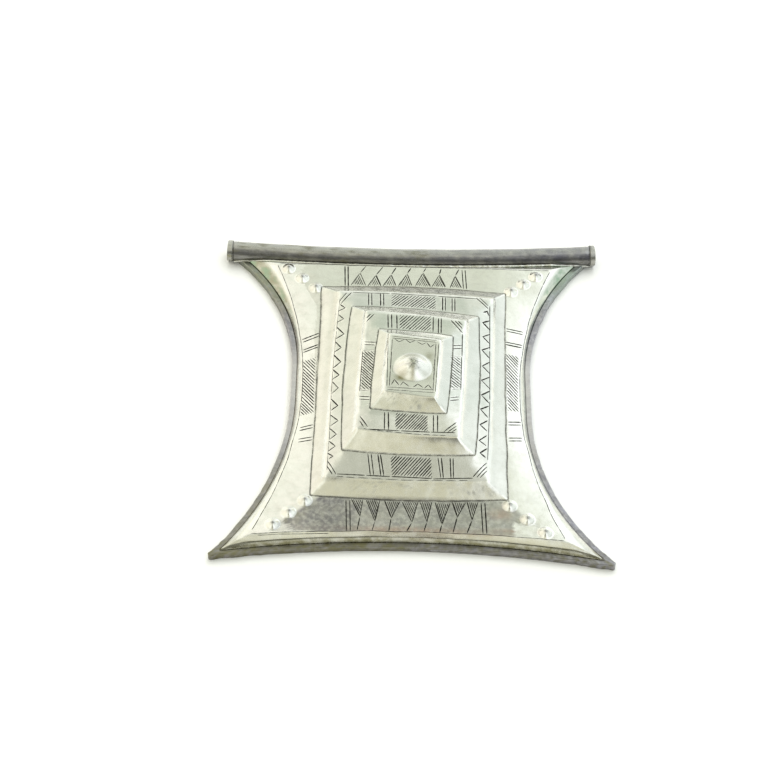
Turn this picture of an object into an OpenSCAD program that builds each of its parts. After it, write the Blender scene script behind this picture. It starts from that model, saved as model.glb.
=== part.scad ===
// Amulet pendant: a flat box of thin silver sheet that lies on its back.
// +X is to the right, +Y is towards the cord tube and +Z is out of the front face.
// The origin is the middle of the flat back.

/* [Outline] */
// Half width of the box at its waist
waist_half = 29.7; // [29.2:0.1:30.4]
// Distance from the middle to the hollow bottom edge
bottom_y = 45.8; // [45:0.1:47]
// Radius of the hollow bottom edge
bottom_r = 280; // [260:5:400]
// Distance from the middle to the square end of the left tip
tip_left = 47; // [46:0.1:48]
// Distance from the middle to the square end of the right tip
tip_right = 47.8; // [46:0.1:48]

/* [Back plate] */
// Thickness of the back sheet
back_sheet = 0.8; // [0.6:0.1:1]
// Height of the rim that stands round the front plate
rim_h = 1.9; // [1.6:0.1:2.2]
// Width of the rim along the sides
rim_side = 1.3; // [1:0.1:1.5]
// Width of the rim along the bottom
rim_bottom = 1; // [0.8:0.1:1.2]

/* [Front plate] */
// Thickness of the front sheet
front_sheet = 0.6; // [0.4:0.1:0.8]
// Height of the engraved flat above the back
flat_z = 4.3; // [4:0.1:4.6]
// Half width of the flat at its waist
flat_half = 26.8; // [26:0.1:27.2]
// Radius of the flat's hollow sides
flat_side_r = 104; // [95:1:115]
// How far the flat's sides lean to the right towards the tube, in degrees
flat_lean = 0.8; // [0:0.1:1]
// Distance from the middle to the flat's bottom edge
flat_bottom_y = 43.2; // [42.5:0.1:43.6]
// Radius of the flat's bottom edge
flat_bottom_r = 414; // [380:2:460]
// Distance from the middle to the flat's top edge
flat_top_y = 41.4; // [40.8:0.1:41.8]
// Radius of the round boss in the middle
boss_r = 4.4; // [3.6:0.1:4.8]
// Height of the boss
boss_h = 2.2; // [1.6:0.1:2.6]
// Radius of the small corner bosses
dot_r = 1.9; // [1.5:0.1:2.1]
// Height of the small corner bosses
dot_h = 0.9; // [0.6:0.1:1.1]

/* [Cord tube] */
// Outer radius of the tube
tube_r = 2.5; // [2.4:0.05:2.6]
// Radius of the hole for the cord
bore_r = 1.9; // [1.9:0.05:2]
// Half length of the tube
tube_half = 47.7; // [47:0.1:48.4]
// Distance from the middle to the tube's axis
tube_y = 45.8; // [45.6:0.1:46.2]
// How far the tube's middle bows towards the box
tube_bow = 2; // [1.6:0.1:2.4]
// How far the tube is turned in the plane of the box, in degrees
tube_turn = 0.95; // [0:0.05:1.2]
// Width of the band soldered round each end
band_w = 1.3; // [1:0.1:1.6]
// How far each band stands out from the tube
band_h = 0.2; // [0.1:0.05:0.25]
// Radius of the hole through each band, a little less than the tube's own
band_bore_r = 1.85; // [1.65:0.05:1.95]

/* [Hidden] */
// Gap left at each seam between two pieces
seam = 0.1;
// Points along each of a ring's four sides, and how far they crowd towards the corners
steps = 20;
crowding = 0.2;
// Shares of the way along a side at which its points lie
shares = [for (i = [0:steps - 1]) mix(i / steps, (1 - cos(180 * i / steps)) / 2, crowding)];
// Height of the tube's axis, just clear of the surface that the box lies on
tube_z = tube_r + band_h + 0.05;
// Radius of the tube's bow, and its centre before and after the turn
bow_r = (pow(tube_half, 2) + pow(tube_bow, 2)) / (2 * tube_bow);
bow_centre = [-bow_r * sin(tube_turn), tube_y + bow_r * cos(tube_turn)];
band_angle = asin((tube_half - band_w / 2) / bow_r);
// Distance from the tube's axis to the front plate's top edge
tube_clear = tube_r + seam;

// The hollow sides, each an upper and a lower arc that run into a straight waist.
// Columns: y where the upper arc begins, its radius, y where the lower arc begins, its radius
sides = [
  [9.0, 50, -1.5, 74],
  [6.5, 59, -5.8, 60]
];

// The wall from the seam up to the flat.
// Columns: share of the way in to the flat, outer height, inner height
wall = [
  [0.00, back_sheet + seam, back_sheet + seam],
  [0.00, rim_h, rim_h - 0.1],
  [0.12, rim_h + 0.85, rim_h + 0.4],
  [0.30, rim_h + 1.55, rim_h + 1.05],
  [0.55, flat_z - 0.35, flat_z - front_sheet - 0.3],
  [0.80, flat_z - 0.1, flat_z - front_sheet - 0.08],
  [1.00, flat_z, flat_z - front_sheet]
];

// The raised steps, hammered a little out of square.
// Columns: height above the flat, width, length, turn of top edge, turn of bottom edge,
// turn of sides, bow of top and bottom, bow of sides
tiers = [
  [0.00, 47.0, 66.4, -0.8, 0.0, -0.8, 1.0, -0.3],
  [2.40, 39.2, 59.1, -1.9, -0.1, -2.0, 0.6, 0.0],
  [3.70, 31.8, 45.2, -4.3, -0.9, -2.0, 0.7, 0.8],
  [6.50, 24.8, 37.6, -6.0, -4.2, -3.0, 0.5, 0.2],
  [7.05, 18.6, 25.2, -5.3, -2.9, -3.9, 0.3, 0.2],
  [9.45, 12.6, 18.4, -8.4, -7.5, -4.0, 0.2, 0.1]
];
boss_at = [0.1, -0.8];

// Rows of three small bosses, from each corner of the flat towards the steps.
// Columns: outer boss x, outer boss y, inner boss x, inner boss y
dot_rows = [
  [-31.7, 39.8, -24.5, 33.2],
  [31.9, 39.2, 25.4, 33.6],
  [-32.3, -41.9, -25.0, -34.9],
  [31.5, -42.4, 23.3, -34.9]
];
dots_in_row = 3;

function mix(a, b, t) = a + (b - a) * t;
function sag(r, d) = r - sqrt(r * r - d * d);

// A side's row in the table, s being -1 for left and 1 for right
function side_row(s) = sides[s < 0 ? 0 : 1];

// Places on the outline moved in by d, and on the edge of the flat
function side_x(s, y, d) =
  let (row = side_row(s))
  s * (waist_half - d + (y > row[0] ? sag(row[1] + d, y - row[0])
    : y < row[2] ? sag(row[3] + d, row[2] - y) : 0));
function bottom_at(x, d) = -bottom_y + d - sag(bottom_r + d, x);
function top_at(x, d) = bow_centre[1] - sqrt(pow(bow_r + d, 2) - pow(x - bow_centre[0], 2));
function flat_x(s, y) = s * (flat_half + sag(flat_side_r, y)) + y * tan(flat_lean);
function flat_bottom(x) = -flat_bottom_y - sag(flat_bottom_r, x);

// Heights at which a side meets the bottom and the top, closed in on in n steps from y
function low_y(s, d, e, y, n) =
  n == 0 ? y : low_y(s, d, e, bottom_at(side_x(s, y, d), e), n - 1);
function high_y(s, d, f, y, n) =
  n == 0 ? y : high_y(s, d, f, top_at(side_x(s, y, d), f), n - 1);
function flat_low_y(s, y, n) = n == 0 ? y : flat_low_y(s, flat_bottom(flat_x(s, y)), n - 1);

// Ring that follows the hollow outline: d in from the sides, e in from the bottom,
// f down from the tube's axis
function outline_ring(d, e, f) =
  let (
    low = [for (s = [-1, 1]) low_y(s, d, e, -46, 9)],
    high = [for (s = [-1, 1]) high_y(s, d, f, 44, 9)],
    low_x = [side_x(-1, low[0], d), side_x(1, low[1], d)],
    high_x = [side_x(-1, high[0], d), side_x(1, high[1], d)]
  )
  concat(
    [for (k = shares) let (x = mix(low_x[0], low_x[1], k)) [x, bottom_at(x, e)]],
    [for (k = shares) let (y = mix(low[1], high[1], k)) [side_x(1, y, d), y]],
    [for (k = shares) let (x = mix(high_x[1], high_x[0], k)) [x, top_at(x, f)]],
    [for (k = shares) let (y = mix(high[0], low[0], k)) [side_x(-1, y, d), y]]
  );

// Ring round the engraved flat
function flat_ring() =
  let (
    low = [for (s = [-1, 1]) flat_low_y(s, -44, 9)],
    low_x = [flat_x(-1, low[0]), flat_x(1, low[1])],
    high_x = [flat_x(-1, flat_top_y), flat_x(1, flat_top_y)]
  )
  concat(
    [for (k = shares) let (x = mix(low_x[0], low_x[1], k)) [x, flat_bottom(x)]],
    [for (k = shares) let (y = mix(low[1], flat_top_y, k)) [flat_x(1, y), y]],
    [for (k = shares) [mix(high_x[1], high_x[0], k), flat_top_y]],
    [for (k = shares) let (y = mix(flat_top_y, low[0], k)) [flat_x(-1, y), y]]
  );

// One side of a step, from corner a to corner b, bowed out by bow
function bowed(a, b, bow) =
  let (along = (b - a) / norm(b - a), out = [along[1], -along[0]])
  [for (t = shares) mix(a, b, t) + out * bow * 4 * t * (1 - t)];

// Ring of a step, from its row in the table
function tier_ring(row) =
  let (
    w = row[1] / 2,
    h = row[2] / 2,
    lean = h * sin(row[5]),
    bl = [lean - w, -h - w * sin(row[4])],
    br = [lean + w, -h + w * sin(row[4])],
    tr = [w - lean, h + w * sin(row[3])],
    tl = [-w - lean, h - w * sin(row[3])]
  )
  concat(bowed(bl, br, row[6]), bowed(br, tr, row[7]), bowed(tr, tl, row[6]), bowed(tl, bl, row[7]));

// Round ring whose first point is at the lower left
function round_ring(r) =
  [for (i = [0:4 * steps - 1]) let (a = 225 + 90 * i / steps) boss_at + r * [cos(a), sin(a)]];

function lift(ring, z) = [for (p = ring) [p[0], p[1], z]];
function blend(a, b, t) = [for (i = [0:len(a) - 1]) mix(a[i], b[i], t)];

// Height of a round boss of radius r and height h at distance d from its middle
function dome(r, h, d) =
  let (ball = (r * r + h * h) / (2 * h)) sqrt(ball * ball - d * d) - ball + h;

// Skin closed by a cap at the first and the last of a list of equal rings
module skin(rings) {
  n = len(rings[0]);
  last = len(rings) - 1;
  polyhedron(
    points = [for (ring = rings) each ring],
    faces = concat(
      [[for (i = [0:n - 1]) i]],
      [for (k = [0:last - 1], i = [0:n - 1])
        let (j = (i + 1) % n) each [
          [k * n + i, (k + 1) * n + j, k * n + j],
          [k * n + i, (k + 1) * n + i, (k + 1) * n + j]
        ]],
      [[for (i = [n - 1:-1:0]) last * n + i]]
    ),
    convexity = 8
  );
}

// Columns: radius as a share of the boss's
boss_rings = [1, 0.8, 0.55, 0.3, 0.08];

module front_plate() color("gainsboro") {
  foot = outline_ring(rim_side + seam, rim_bottom + seam, tube_clear);
  foot_in = outline_ring(
    rim_side + seam + front_sheet, rim_bottom + seam + front_sheet, tube_clear + front_sheet);
  flat = flat_ring();
  top_z = flat_z + tiers[len(tiers) - 1][0];
  outer = concat(
    [for (row = wall) lift(blend(foot, flat, row[0]), row[1])],
    [for (row = tiers) lift(tier_ring(row), flat_z + row[0])],
    [for (s = boss_rings) lift(round_ring(s * boss_r), top_z + dome(boss_r, boss_h, s * boss_r))]
  );
  inner = concat(
    [for (row = wall) lift(blend(foot_in, flat, row[0]), row[2])],
    [for (row = tiers) lift(tier_ring(row), flat_z + row[0] - front_sheet)],
    [for (s = boss_rings)
      lift(round_ring(s * boss_r), top_z - front_sheet + dome(boss_r, boss_h, s * boss_r))]
  );
  skin(concat([for (k = [len(inner) - 1:-1:0]) inner[k]], outer));
  for (row = dot_rows, i = [0:dots_in_row - 1]) {
    t = i / (dots_in_row - 1);
    translate([mix(row[0], row[2], t), mix(row[1], row[3], t), flat_z]) dot();
  }
}

// Small round boss, its foot sunk in the sheet
module dot() hull() {
  translate([0, 0, -front_sheet / 2]) cylinder(r = dot_r, h = front_sheet / 2, $fn = 20);
  for (s = [0.8, 0.5, 0.2])
    cylinder(r = s * dot_r, h = dome(dot_r, dot_h, s * dot_r), $fn = 20);
}

// Outline moved in by d at the sides and e at the bottom, down to f below the tube's axis
module outline(d, e, f) difference() {
  translate([-tip_left, -1.2 * bottom_y]) square([tip_left + tip_right, 2.4 * bottom_y]);
  translate([0, -bottom_y - bottom_r]) circle(r = bottom_r + e, $fn = 180);
  for (s = [-1, 1]) {
    row = side_row(s);
    translate([s * (waist_half + row[1]), row[0]]) circle(r = row[1] + d, $fn = 180);
    translate([s * (waist_half + row[3]), row[2]]) circle(r = row[3] + d, $fn = 180);
    translate([s * (waist_half - d + waist_half / 2), (row[0] + row[2]) / 2])
      square([waist_half, row[0] - row[2]], center = true);
  }
  translate(bow_centre) circle(r = bow_r + f, $fn = 180);
}

// Thin sheet, with the rim that the front plate sits in soldered to it as one solid
module back_plate() color("silver") difference() {
  union() {
    linear_extrude(back_sheet) outline(0, 0, 0.7 * tube_r);
    linear_extrude(rim_h) difference() {
      outline(0, 0, 0.7 * tube_r);
      outline(rim_side, rim_bottom, -tube_r);
    }
  }
  bowed_bar(tube_half, tube_r + seam / 2);
}

// Bowed round bar of radius r that reaches to half on each side of the middle
module bowed_bar(half, r) {
  reach = asin(half / bow_r);
  translate([bow_centre[0], bow_centre[1], tube_z]) rotate(tube_turn - 90 - reach)
    rotate_extrude(angle = 2 * reach, $fn = 360) translate([bow_r, 0]) circle(r = r, $fn = 48);
}

// Bowed tube, with the two end bands soldered on as one solid
module cord_tube() color("darkgray") {
  difference() {
    bowed_bar(tube_half - band_w / 2, tube_r);
    bowed_bar(tube_half, bore_r);
  }
  for (s = [-1, 1])
    translate([bow_centre[0], bow_centre[1], tube_z]) rotate(tube_turn + s * band_angle)
      translate([0, -bow_r, 0]) rotate([0, 90, 0]) difference() {
        cylinder(r = tube_r + band_h, h = band_w, center = true, $fn = 48);
        cylinder(r = band_bore_r, h = 2 * band_w, center = true, $fn = 48);
      }
}

front_plate();
back_plate();
cord_tube();
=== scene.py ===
"""Amulet pendant of worn silver sheet: the looks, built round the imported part."""
import math
import random

import bmesh
import bpy
import numpy as np
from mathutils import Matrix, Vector, noise
from mathutils.bvhtree import BVHTree


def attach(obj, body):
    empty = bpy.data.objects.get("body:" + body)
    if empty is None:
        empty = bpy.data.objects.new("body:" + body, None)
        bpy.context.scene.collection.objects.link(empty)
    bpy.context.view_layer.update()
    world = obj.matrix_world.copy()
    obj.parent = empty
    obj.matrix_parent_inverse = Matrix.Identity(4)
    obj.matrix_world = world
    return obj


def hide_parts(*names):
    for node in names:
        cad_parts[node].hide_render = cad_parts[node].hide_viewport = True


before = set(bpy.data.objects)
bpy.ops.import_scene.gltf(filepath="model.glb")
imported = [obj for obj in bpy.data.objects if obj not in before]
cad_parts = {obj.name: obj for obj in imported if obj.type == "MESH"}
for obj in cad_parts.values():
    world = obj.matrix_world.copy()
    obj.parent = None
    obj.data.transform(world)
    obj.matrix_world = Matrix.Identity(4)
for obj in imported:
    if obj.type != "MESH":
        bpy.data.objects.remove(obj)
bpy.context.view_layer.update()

bl_info = {
    "name": "Amulet pendant",
    "version": (1, 0, 0),
    "blender": (4, 5, 0),
    "location": "View3D > Sidebar > Amulet",
    "description": "Builds a hammered and engraved amulet pendant with a cord tube",
    "category": "Mesh",
}

MM = 0.001

# The hollow sides, -1 left and 1 right: y where the upper arc begins, its radius,
# y where the lower arc begins, its radius, in millimetres
SIDES = {-1: (9.0, 50.0, -1.5, 74.0), 1: (6.5, 59.0, -5.8, 60.0)}

# The wall from the rim to the flat: share of the way in, share of the way up
WALL = [(0.0, 0.0), (0.03, 0.12), (0.25, 0.40), (0.50, 0.69), (0.70, 0.87), (0.86, 0.96), (1.0, 1.0)]

# The same for the bottom wall, which has a crease a third of the way up
LOW_WALL = [(0.0, 0.0), (0.01, 0.05), (0.28, 0.60), (0.35, 0.68), (0.60, 0.81), (0.86, 0.94), (1.0, 1.0)]

# A slope of the steps from its foot to its rim, where it steepens: share in, share up
SLOPE = [(0.0, 0.0), (0.22, 0.18), (0.50, 0.40), (0.68, 0.55), (0.78, 0.65), (0.88, 0.80), (1.0, 1.0)]

# The raised steps: height above the flat, width, length, turn of the top edge, turn of the
# bottom edge, turn of the sides, bow of top and bottom, bow of the sides
TIERS = [
    (0.00, 47.0, 66.4, -0.8, 0.0, -0.8, 1.0, -0.3),
    (2.40, 39.2, 59.1, -1.9, -0.1, -2.0, 0.6, 0.0),
    (3.70, 31.8, 45.2, -4.3, -0.9, -2.0, 0.7, 0.8),
    (6.50, 24.8, 37.6, -6.0, -4.2, -3.0, 0.5, 0.2),
    (7.05, 18.6, 25.2, -5.3, -2.9, -3.9, 0.3, 0.2),
    (9.45, 12.6, 18.4, -8.4, -7.5, -4.0, 0.2, 0.1),
]
BOSS_AT = (0.1, -0.8)

# Rows of three small bosses: outer x, outer y, inner x, inner y
DOT_ROWS = [
    (-31.7, 39.8, -24.5, 33.2),
    (31.9, 39.2, 25.4, 33.6),
    (-32.3, -41.9, -25.0, -34.9),
    (31.5, -42.4, 23.3, -34.9),
]

# Hatched triangles of the two panels: left foot, point, right foot, end of the stroke
# that runs on from the point, as x and y
TRIANGLES = [
    (-15.5, 34.5, -13.3, 38.8, -11.7, 34.3, -11.8, 41.3),
    (-11.2, 34.3, -9.2, 38.2, -7.8, 34.4, -7.4, 41.2),
    (-7.3, 34.5, -5.3, 38.4, -4.0, 34.6, -4.0, 41.1),
    (-3.5, 34.4, -1.2, 38.9, 0.1, 34.7, -0.2, 41.0),
    (0.9, 34.6, 2.9, 39.4, 5.0, 34.5, 3.7, 41.1),
    (5.2, 34.6, 7.1, 38.8, 8.8, 34.5, 7.6, 41.0),
    (9.9, 34.5, 11.2, 38.6, 12.9, 34.3, 12.2, 41.0),
    (-14.1, -34.3, -11.9, -39.0, -11.3, -34.4, -12.5, -43.0),
    (-10.6, -34.4, -8.4, -40.3, -7.3, -34.5, -9.0, -43.0),
    (-6.3, -34.5, -4.6, -39.3, -2.5, -34.6, -5.1, -43.1),
    (-2.1, -34.7, 0.3, -40.4, 1.7, -34.7, -0.9, -43.0),
    (2.2, -34.7, 3.8, -40.2, 5.0, -34.6, 3.1, -42.9),
    (5.7, -34.6, 7.3, -40.7, 9.3, -34.8, 6.8, -43.1),
    (9.7, -34.6, 10.9, -38.6, 13.0, -34.5, 9.9, -43.1),
    (13.3, -34.5, 14.4, -39.3, 15.9, -34.3, 13.2, -43.1),
]

# Hatched bands: four corners as x and y, way of the strokes as x and y, spacing
HATCHED = [
    (-26.9, 8.8, -23.7, 10.2, -23.7, -8.1, -27.0, -8.9, 1.0, -1.3, 0.62),
    (23.5, 12.7, 26.8, 12.0, 26.3, -5.8, 23.6, -5.9, 1.0, -1.3, 0.62),
    (-5.3, 29.2, 6.1, 28.8, 6.1, 23.6, -5.3, 24.4, 1.0, 1.25, 0.66),
    (-5.1, -23.5, 4.8, -23.8, 5.0, -29.1, -4.7, -28.8, 1.0, 1.25, 0.58),
    (-3.3, 18.9, 4.7, 18.6, 4.7, 13.0, -3.3, 13.7, 1.0, 1.3, 0.64),
    (-4.1, -13.0, 3.8, -13.5, 3.8, -18.3, -4.1, -17.9, 1.0, 1.25, 0.55),
    (-12.3, 6.6, -9.2, 6.3, -9.6, -6.3, -12.5, -5.8, 1.0, -1.3, 0.56),
    (9.3, 4.9, 12.0, 5.4, 11.8, -4.6, 9.1, -5.2, 1.0, -0.85, 0.68),
]

# Single strokes, grouped by where they are: x, y to x, y
STROKES = [
    # doubled lines at the ends of the plate's top and bottom panels
    (-17.2, 41.2, -17.0, 33.9), (-16.4, 41.2, -16.2, 33.9),
    (13.0, 40.9, 13.3, 34.2), (13.8, 40.9, 14.1, 34.2),
    (-15.3, -34.4, -15.0, -43.3), (-14.4, -34.4, -14.1, -43.3),
    (16.6, -34.2, 16.9, -43.2), (17.5, -34.2, 17.8, -43.2),
    # doubled lines across the plate's sides
    (-27.4, 15.8, -23.2, 17.8), (-27.1, 15.0, -23.2, 16.8),
    (-27.0, 12.4, -23.3, 14.0), (-27.0, 11.6, -23.3, 13.2),
    (-26.9, -12.6, -23.8, -11.8), (-27.0, -13.5, -23.8, -12.7),
    (-27.2, -16.2, -23.8, -15.6), (-27.2, -17.1, -23.8, -16.5),
    (23.6, 21.0, 28.2, 20.2), (23.6, 20.2, 28.1, 19.4),
    (23.4, 16.5, 27.9, 15.8), (23.4, 15.7, 27.8, 15.0),
    (23.6, -9.4, 26.8, -9.0), (23.6, -10.3, 26.8, -9.9),
    (23.6, -14.4, 27.0, -14.0), (23.6, -15.3, 27.0, -14.9),
    # doubled lines on the first step
    (-11.0, 29.4, -10.9, 24.3), (-10.2, 29.4, -10.1, 24.3),
    (-8.0, 29.4, -7.9, 24.3), (-7.2, 29.4, -7.1, 24.3),
    (7.8, 28.7, 7.7, 23.3), (8.5, 28.7, 8.4, 23.3),
    (10.2, 28.5, 10.1, 23.0), (10.9, 28.5, 10.8, 23.0),
    (-10.4, -23.2, -9.7, -28.8), (-9.6, -23.2, -8.9, -28.8),
    (-8.0, -23.3, -7.2, -28.9), (-7.4, -23.3, -6.5, -28.9),
    (6.3, -23.8, 7.0, -29.1), (7.1, -23.8, 7.6, -29.1),
    (9.2, -23.8, 9.4, -29.0), (9.9, -23.8, 10.0, -29.0),
    # strokes across the first step's corners
    (-18.4, 26.2, -16.5, 29.4), (-17.9, 25.4, -15.3, 29.5),
    (17.2, 29.0, 19.3, 26.0), (16.3, 28.9, 19.3, 24.9),
    (14.6, -28.6, 18.0, -24.2), (15.5, -28.7, 18.0, -25.4), (16.3, -28.7, 18.0, -26.6),
    (-20.0, -24.8, -17.8, -28.8), (-20.1, -26.3, -18.7, -28.8),
    # border lines on the first step
    (19.7, 26.0, 19.4, 11.4), (19.4, 11.2, 19.1, -4.7), (19.1, -5.0, 18.2, -23.4),
    (-17.6, -28.7, -11.0, -28.9), (-10.7, -28.9, -5.0, -29.1), (-4.7, -29.1, 4.9, -29.3), (5.2, -29.4, 14.6, -28.9),
    (-15.0, 29.5, -5.6, 29.5), (-5.3, 29.5, 6.4, 29.1), (6.6, 29.0, 16.4, 28.5),
    # doubled lines, corners and borders on the second step
    (-6.1, 18.9, -6.0, 13.9), (-5.2, 18.9, -5.1, 13.8), (-3.9, 18.8, -3.8, 13.7),
    (6.5, 18.0, 6.4, 12.5), (7.2, 18.0, 7.1, 12.5), (5.2, 18.4, 5.1, 12.8),
    (9.6, 17.4, 12.4, 13.2), (10.6, 17.3, 12.4, 14.6), (11.4, 17.2, 12.4, 15.8),
    (-11.4, 16.3, -9.5, 18.8), (-11.4, 17.5, -10.4, 18.8),
    (-11.8, 9.6, -8.9, 9.1), (-11.8, 8.7, -8.9, 8.2),
    (-12.8, -7.9, -10.2, -8.4), (-12.8, -8.8, -10.2, -9.3),
    (9.8, 8.6, 12.2, 9.2), (9.8, 7.6, 12.2, 8.2),
    (9.2, -8.0, 11.3, -7.4), (9.1, -8.9, 11.3, -8.3),
    (-12.5, -14.2, -10.6, -17.3), (-12.5, -15.6, -11.6, -17.3),
    (7.6, -18.3, 10.6, -15.4), (8.6, -18.3, 10.6, -16.5), (9.5, -18.3, 10.6, -17.4),
    (-6.6, -13.0, -6.6, -18.0), (-5.7, -13.0, -5.6, -18.0),
    (5.1, -13.5, 5.1, -18.4), (6.1, -13.5, 6.1, -18.4),
    (-10.4, -18.0, -2.9, -18.3), (-2.7, -18.3, 4.3, -18.5), (4.5, -18.5, 10.3, -18.5),
    (12.4, 12.8, 12.2, 5.6), (12.1, 5.4, 11.8, -5.2),
    (-12.2, 6.5, -12.7, -6.4),
]

# Fine strokes: the doubled border round the top
FINE = [
    (0.0, 0.35, 0.75, -0.4), (0.7, -0.45, 0.15, -1.2), (0.1, -1.2, -0.55, -0.45), (-0.5, -0.4, -0.05, 0.3),
    (-12.0, 6.8, -9.3, 6.7), (-12.5, -6.0, -9.8, -6.6), (9.4, 5.2, 11.9, 5.6), (9.1, -5.4, 11.6, -4.9),
    (-18.2, 27.6, -18.8, 16.8), (-18.8, 16.5, -19.4, 3.7), (-19.4, 3.4, -19.6, -6.0),
    (-19.6, -6.3, -19.7, -18.5), (-19.8, -18.8, -20.0, -27.6),
    (-6.0, 8.4, -6.2, -7.0), (-5.0, 8.2, -5.6, -6.9),
    (5.7, 7.2, 4.9, -7.9), (6.4, 7.2, 5.5, -8.3),
    (-6.1, -7.2, 5.2, -7.7), (-6.1, -8.0, 5.3, -8.6),
    (-5.0, 9.1, 5.9, 8.1), (-5.0, 8.5, 5.9, 7.5),
]

# Bent strokes: teeth up both sides of the first step and round the top, x and y of 3 points
TEETH = [
    (-18.1, 25.3, -16.8, 23.7, -18.6, 23.1), (-18.4, 21.9, -17.1, 20.0, -18.8, 19.4),
    (-18.8, 17.8, -16.9, 14.8, -18.9, 13.8), (-19.0, 12.9, -17.5, 10.4, -19.1, 9.5),
    (-19.3, 8.6, -17.5, 5.7, -19.3, 4.3), (-19.4, 3.8, -17.8, 1.5, -19.4, 0.6),
    (-19.4, -0.2, -17.9, -2.7, -19.5, -4.0), (-19.6, -5.6, -17.9, -8.3, -19.5, -9.3),
    (-19.6, -10.7, -17.7, -13.1, -19.5, -14.2), (-19.7, -14.9, -18.0, -17.2, -19.6, -18.4),
    (-19.7, -18.9, -18.2, -20.8, -19.8, -21.9), (-20.0, -22.5, -18.7, -23.7, -19.6, -24.3),
    (18.0, 23.4, 19.0, 24.0, 19.4, 22.6), (19.5, 21.0, 17.8, 19.8, 19.5, 18.0),
    (19.5, 16.5, 17.7, 15.1, 19.4, 13.4), (19.4, 12.2, 17.4, 10.6, 19.3, 8.6),
    (19.3, 7.4, 17.4, 5.4, 19.2, 3.7), (19.2, 2.6, 17.1, 0.7, 19.1, -1.1),
    (19.1, -1.9, 17.0, -4.0, 18.9, -5.8), (18.8, -6.7, 16.7, -8.5, 18.5, -10.4),
    (18.4, -11.4, 16.5, -13.3, 18.2, -14.7), (18.1, -16.1, 16.2, -18.2, 17.9, -19.2),
    (18.1, -20.0, 16.4, -21.8, 17.7, -22.8),
    (-4.4, 8.3, -3.4, 7.3, -2.1, 8.1), (-1.7, 8.1, -0.7, 7.2, 0.6, 7.9),
    (1.0, 7.6, 2.3, 6.7, 3.3, 7.3), (3.5, 7.2, 4.3, 5.9, 5.3, 6.8),
    (-5.1, -6.4, -4.4, -4.8, -3.3, -6.5), (-3.0, -6.7, -2.3, -5.5, -0.8, -6.9),
    (0.1, -7.1, 1.3, -6.0, 2.5, -7.1), (2.8, -7.3, 3.8, -6.2, 4.6, -7.4),
]


def linear(code):
    """sRGB hex colour as linear red, green, blue and alpha."""
    parts = [int(code[i:i + 2], 16) / 255 for i in (1, 3, 5)]
    return [p / 12.92 if p <= 0.04045 else ((p + 0.055) / 1.055) ** 2.4 for p in parts] + [1.0]


def length(name, description, millimetres):
    return bpy.props.FloatProperty(
        name=name, description=description, default=millimetres * MM, unit="LENGTH")


def colour(name, description, code):
    return bpy.props.FloatVectorProperty(
        name=name, description=description, default=linear(code), size=4, subtype="COLOR",
        min=0.0, max=1.0)


class AmuletSizes(bpy.types.PropertyGroup):
    """Driving sizes of the pendant."""
    waist_half: length("Waist", "Half width of the box at its waist", 29.7)
    bottom_y: length("Bottom", "Distance from the middle to the bottom edge", 45.8)
    bottom_r: length("Bottom radius", "Radius of the hollow bottom edge", 280.0)
    tip_left: length("Left tip", "Distance from the middle to the left tip's end", 47.0)
    tip_right: length("Right tip", "Distance from the middle to the right tip's end", 47.8)
    back_sheet: length("Back sheet", "Thickness of the back sheet", 0.8)
    front_sheet: length("Front sheet", "Thickness of the front sheet", 0.6)
    rim_h: length("Rim height", "Height of the rim above the back", 1.9)
    rim_side: length("Side rim", "Width of the rim along the sides", 1.3)
    rim_bottom: length("Bottom rim", "Width of the rim along the bottom", 1.0)
    seam: length("Seam", "Gap between the front plate and the rim", 0.1)
    flat_z: length("Flat", "Height of the engraved flat above the back", 4.3)
    flat_half: length("Flat's waist", "Half width of the flat at its waist", 26.8)
    flat_side_r: length("Flat's sides", "Radius of the flat's hollow sides", 104.0)
    flat_bottom_y: length("Flat's bottom", "Distance from the middle to the flat's bottom", 43.2)
    flat_bottom_r: length("Flat's bottom radius", "Radius of the flat's bottom edge", 414.0)
    flat_top_y: length("Flat's top", "Distance from the middle to the flat's top", 41.4)
    boss_r: length("Boss radius", "Radius of the round boss in the middle", 4.75)
    boss_h: length("Boss height", "Height of the round boss in the middle", 2.1)
    dot_r: length("Small boss radius", "Radius of each small corner boss", 1.9)
    dot_h: length("Small boss height", "Height of each small corner boss", 1.07)
    stroke_w: length("Stroke width", "Width of an engraved stroke", 0.31)
    hatch_w: length("Hatch width", "Width of an engraved hatch line", 0.27)
    fine_w: length("Fine stroke width", "Width of the strokes round the top", 0.19)
    tube_r: length("Tube radius", "Outer radius of the cord tube", 2.5)
    bore_r: length("Tube hole", "Radius of the tube's hole", 1.9)
    band_bore_r: length("Band hole", "Radius of the hole through each end band", 1.85)
    tube_half: length("Tube half length", "Half length of the cord tube", 47.7)
    tube_y: length("Tube place", "Distance from the middle to the tube's axis", 45.8)
    tube_bow: length("Tube bow", "How far the tube's middle bows towards the box", 2.0)
    band_w: length("Band width", "Width of the band round each end of the tube", 1.3)
    band_h: length("Band height", "How far each band stands out", 0.2)
    tube_turn: bpy.props.FloatProperty(
        name="Tube turn", description="Turn of the tube in the plane of the box",
        default=math.radians(0.95), unit="ROTATION", subtype="ANGLE")
    flat_lean: bpy.props.FloatProperty(
        name="Flat's lean", description="Lean of the flat's sides towards the right",
        default=math.radians(0.8), unit="ROTATION", subtype="ANGLE")


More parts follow.
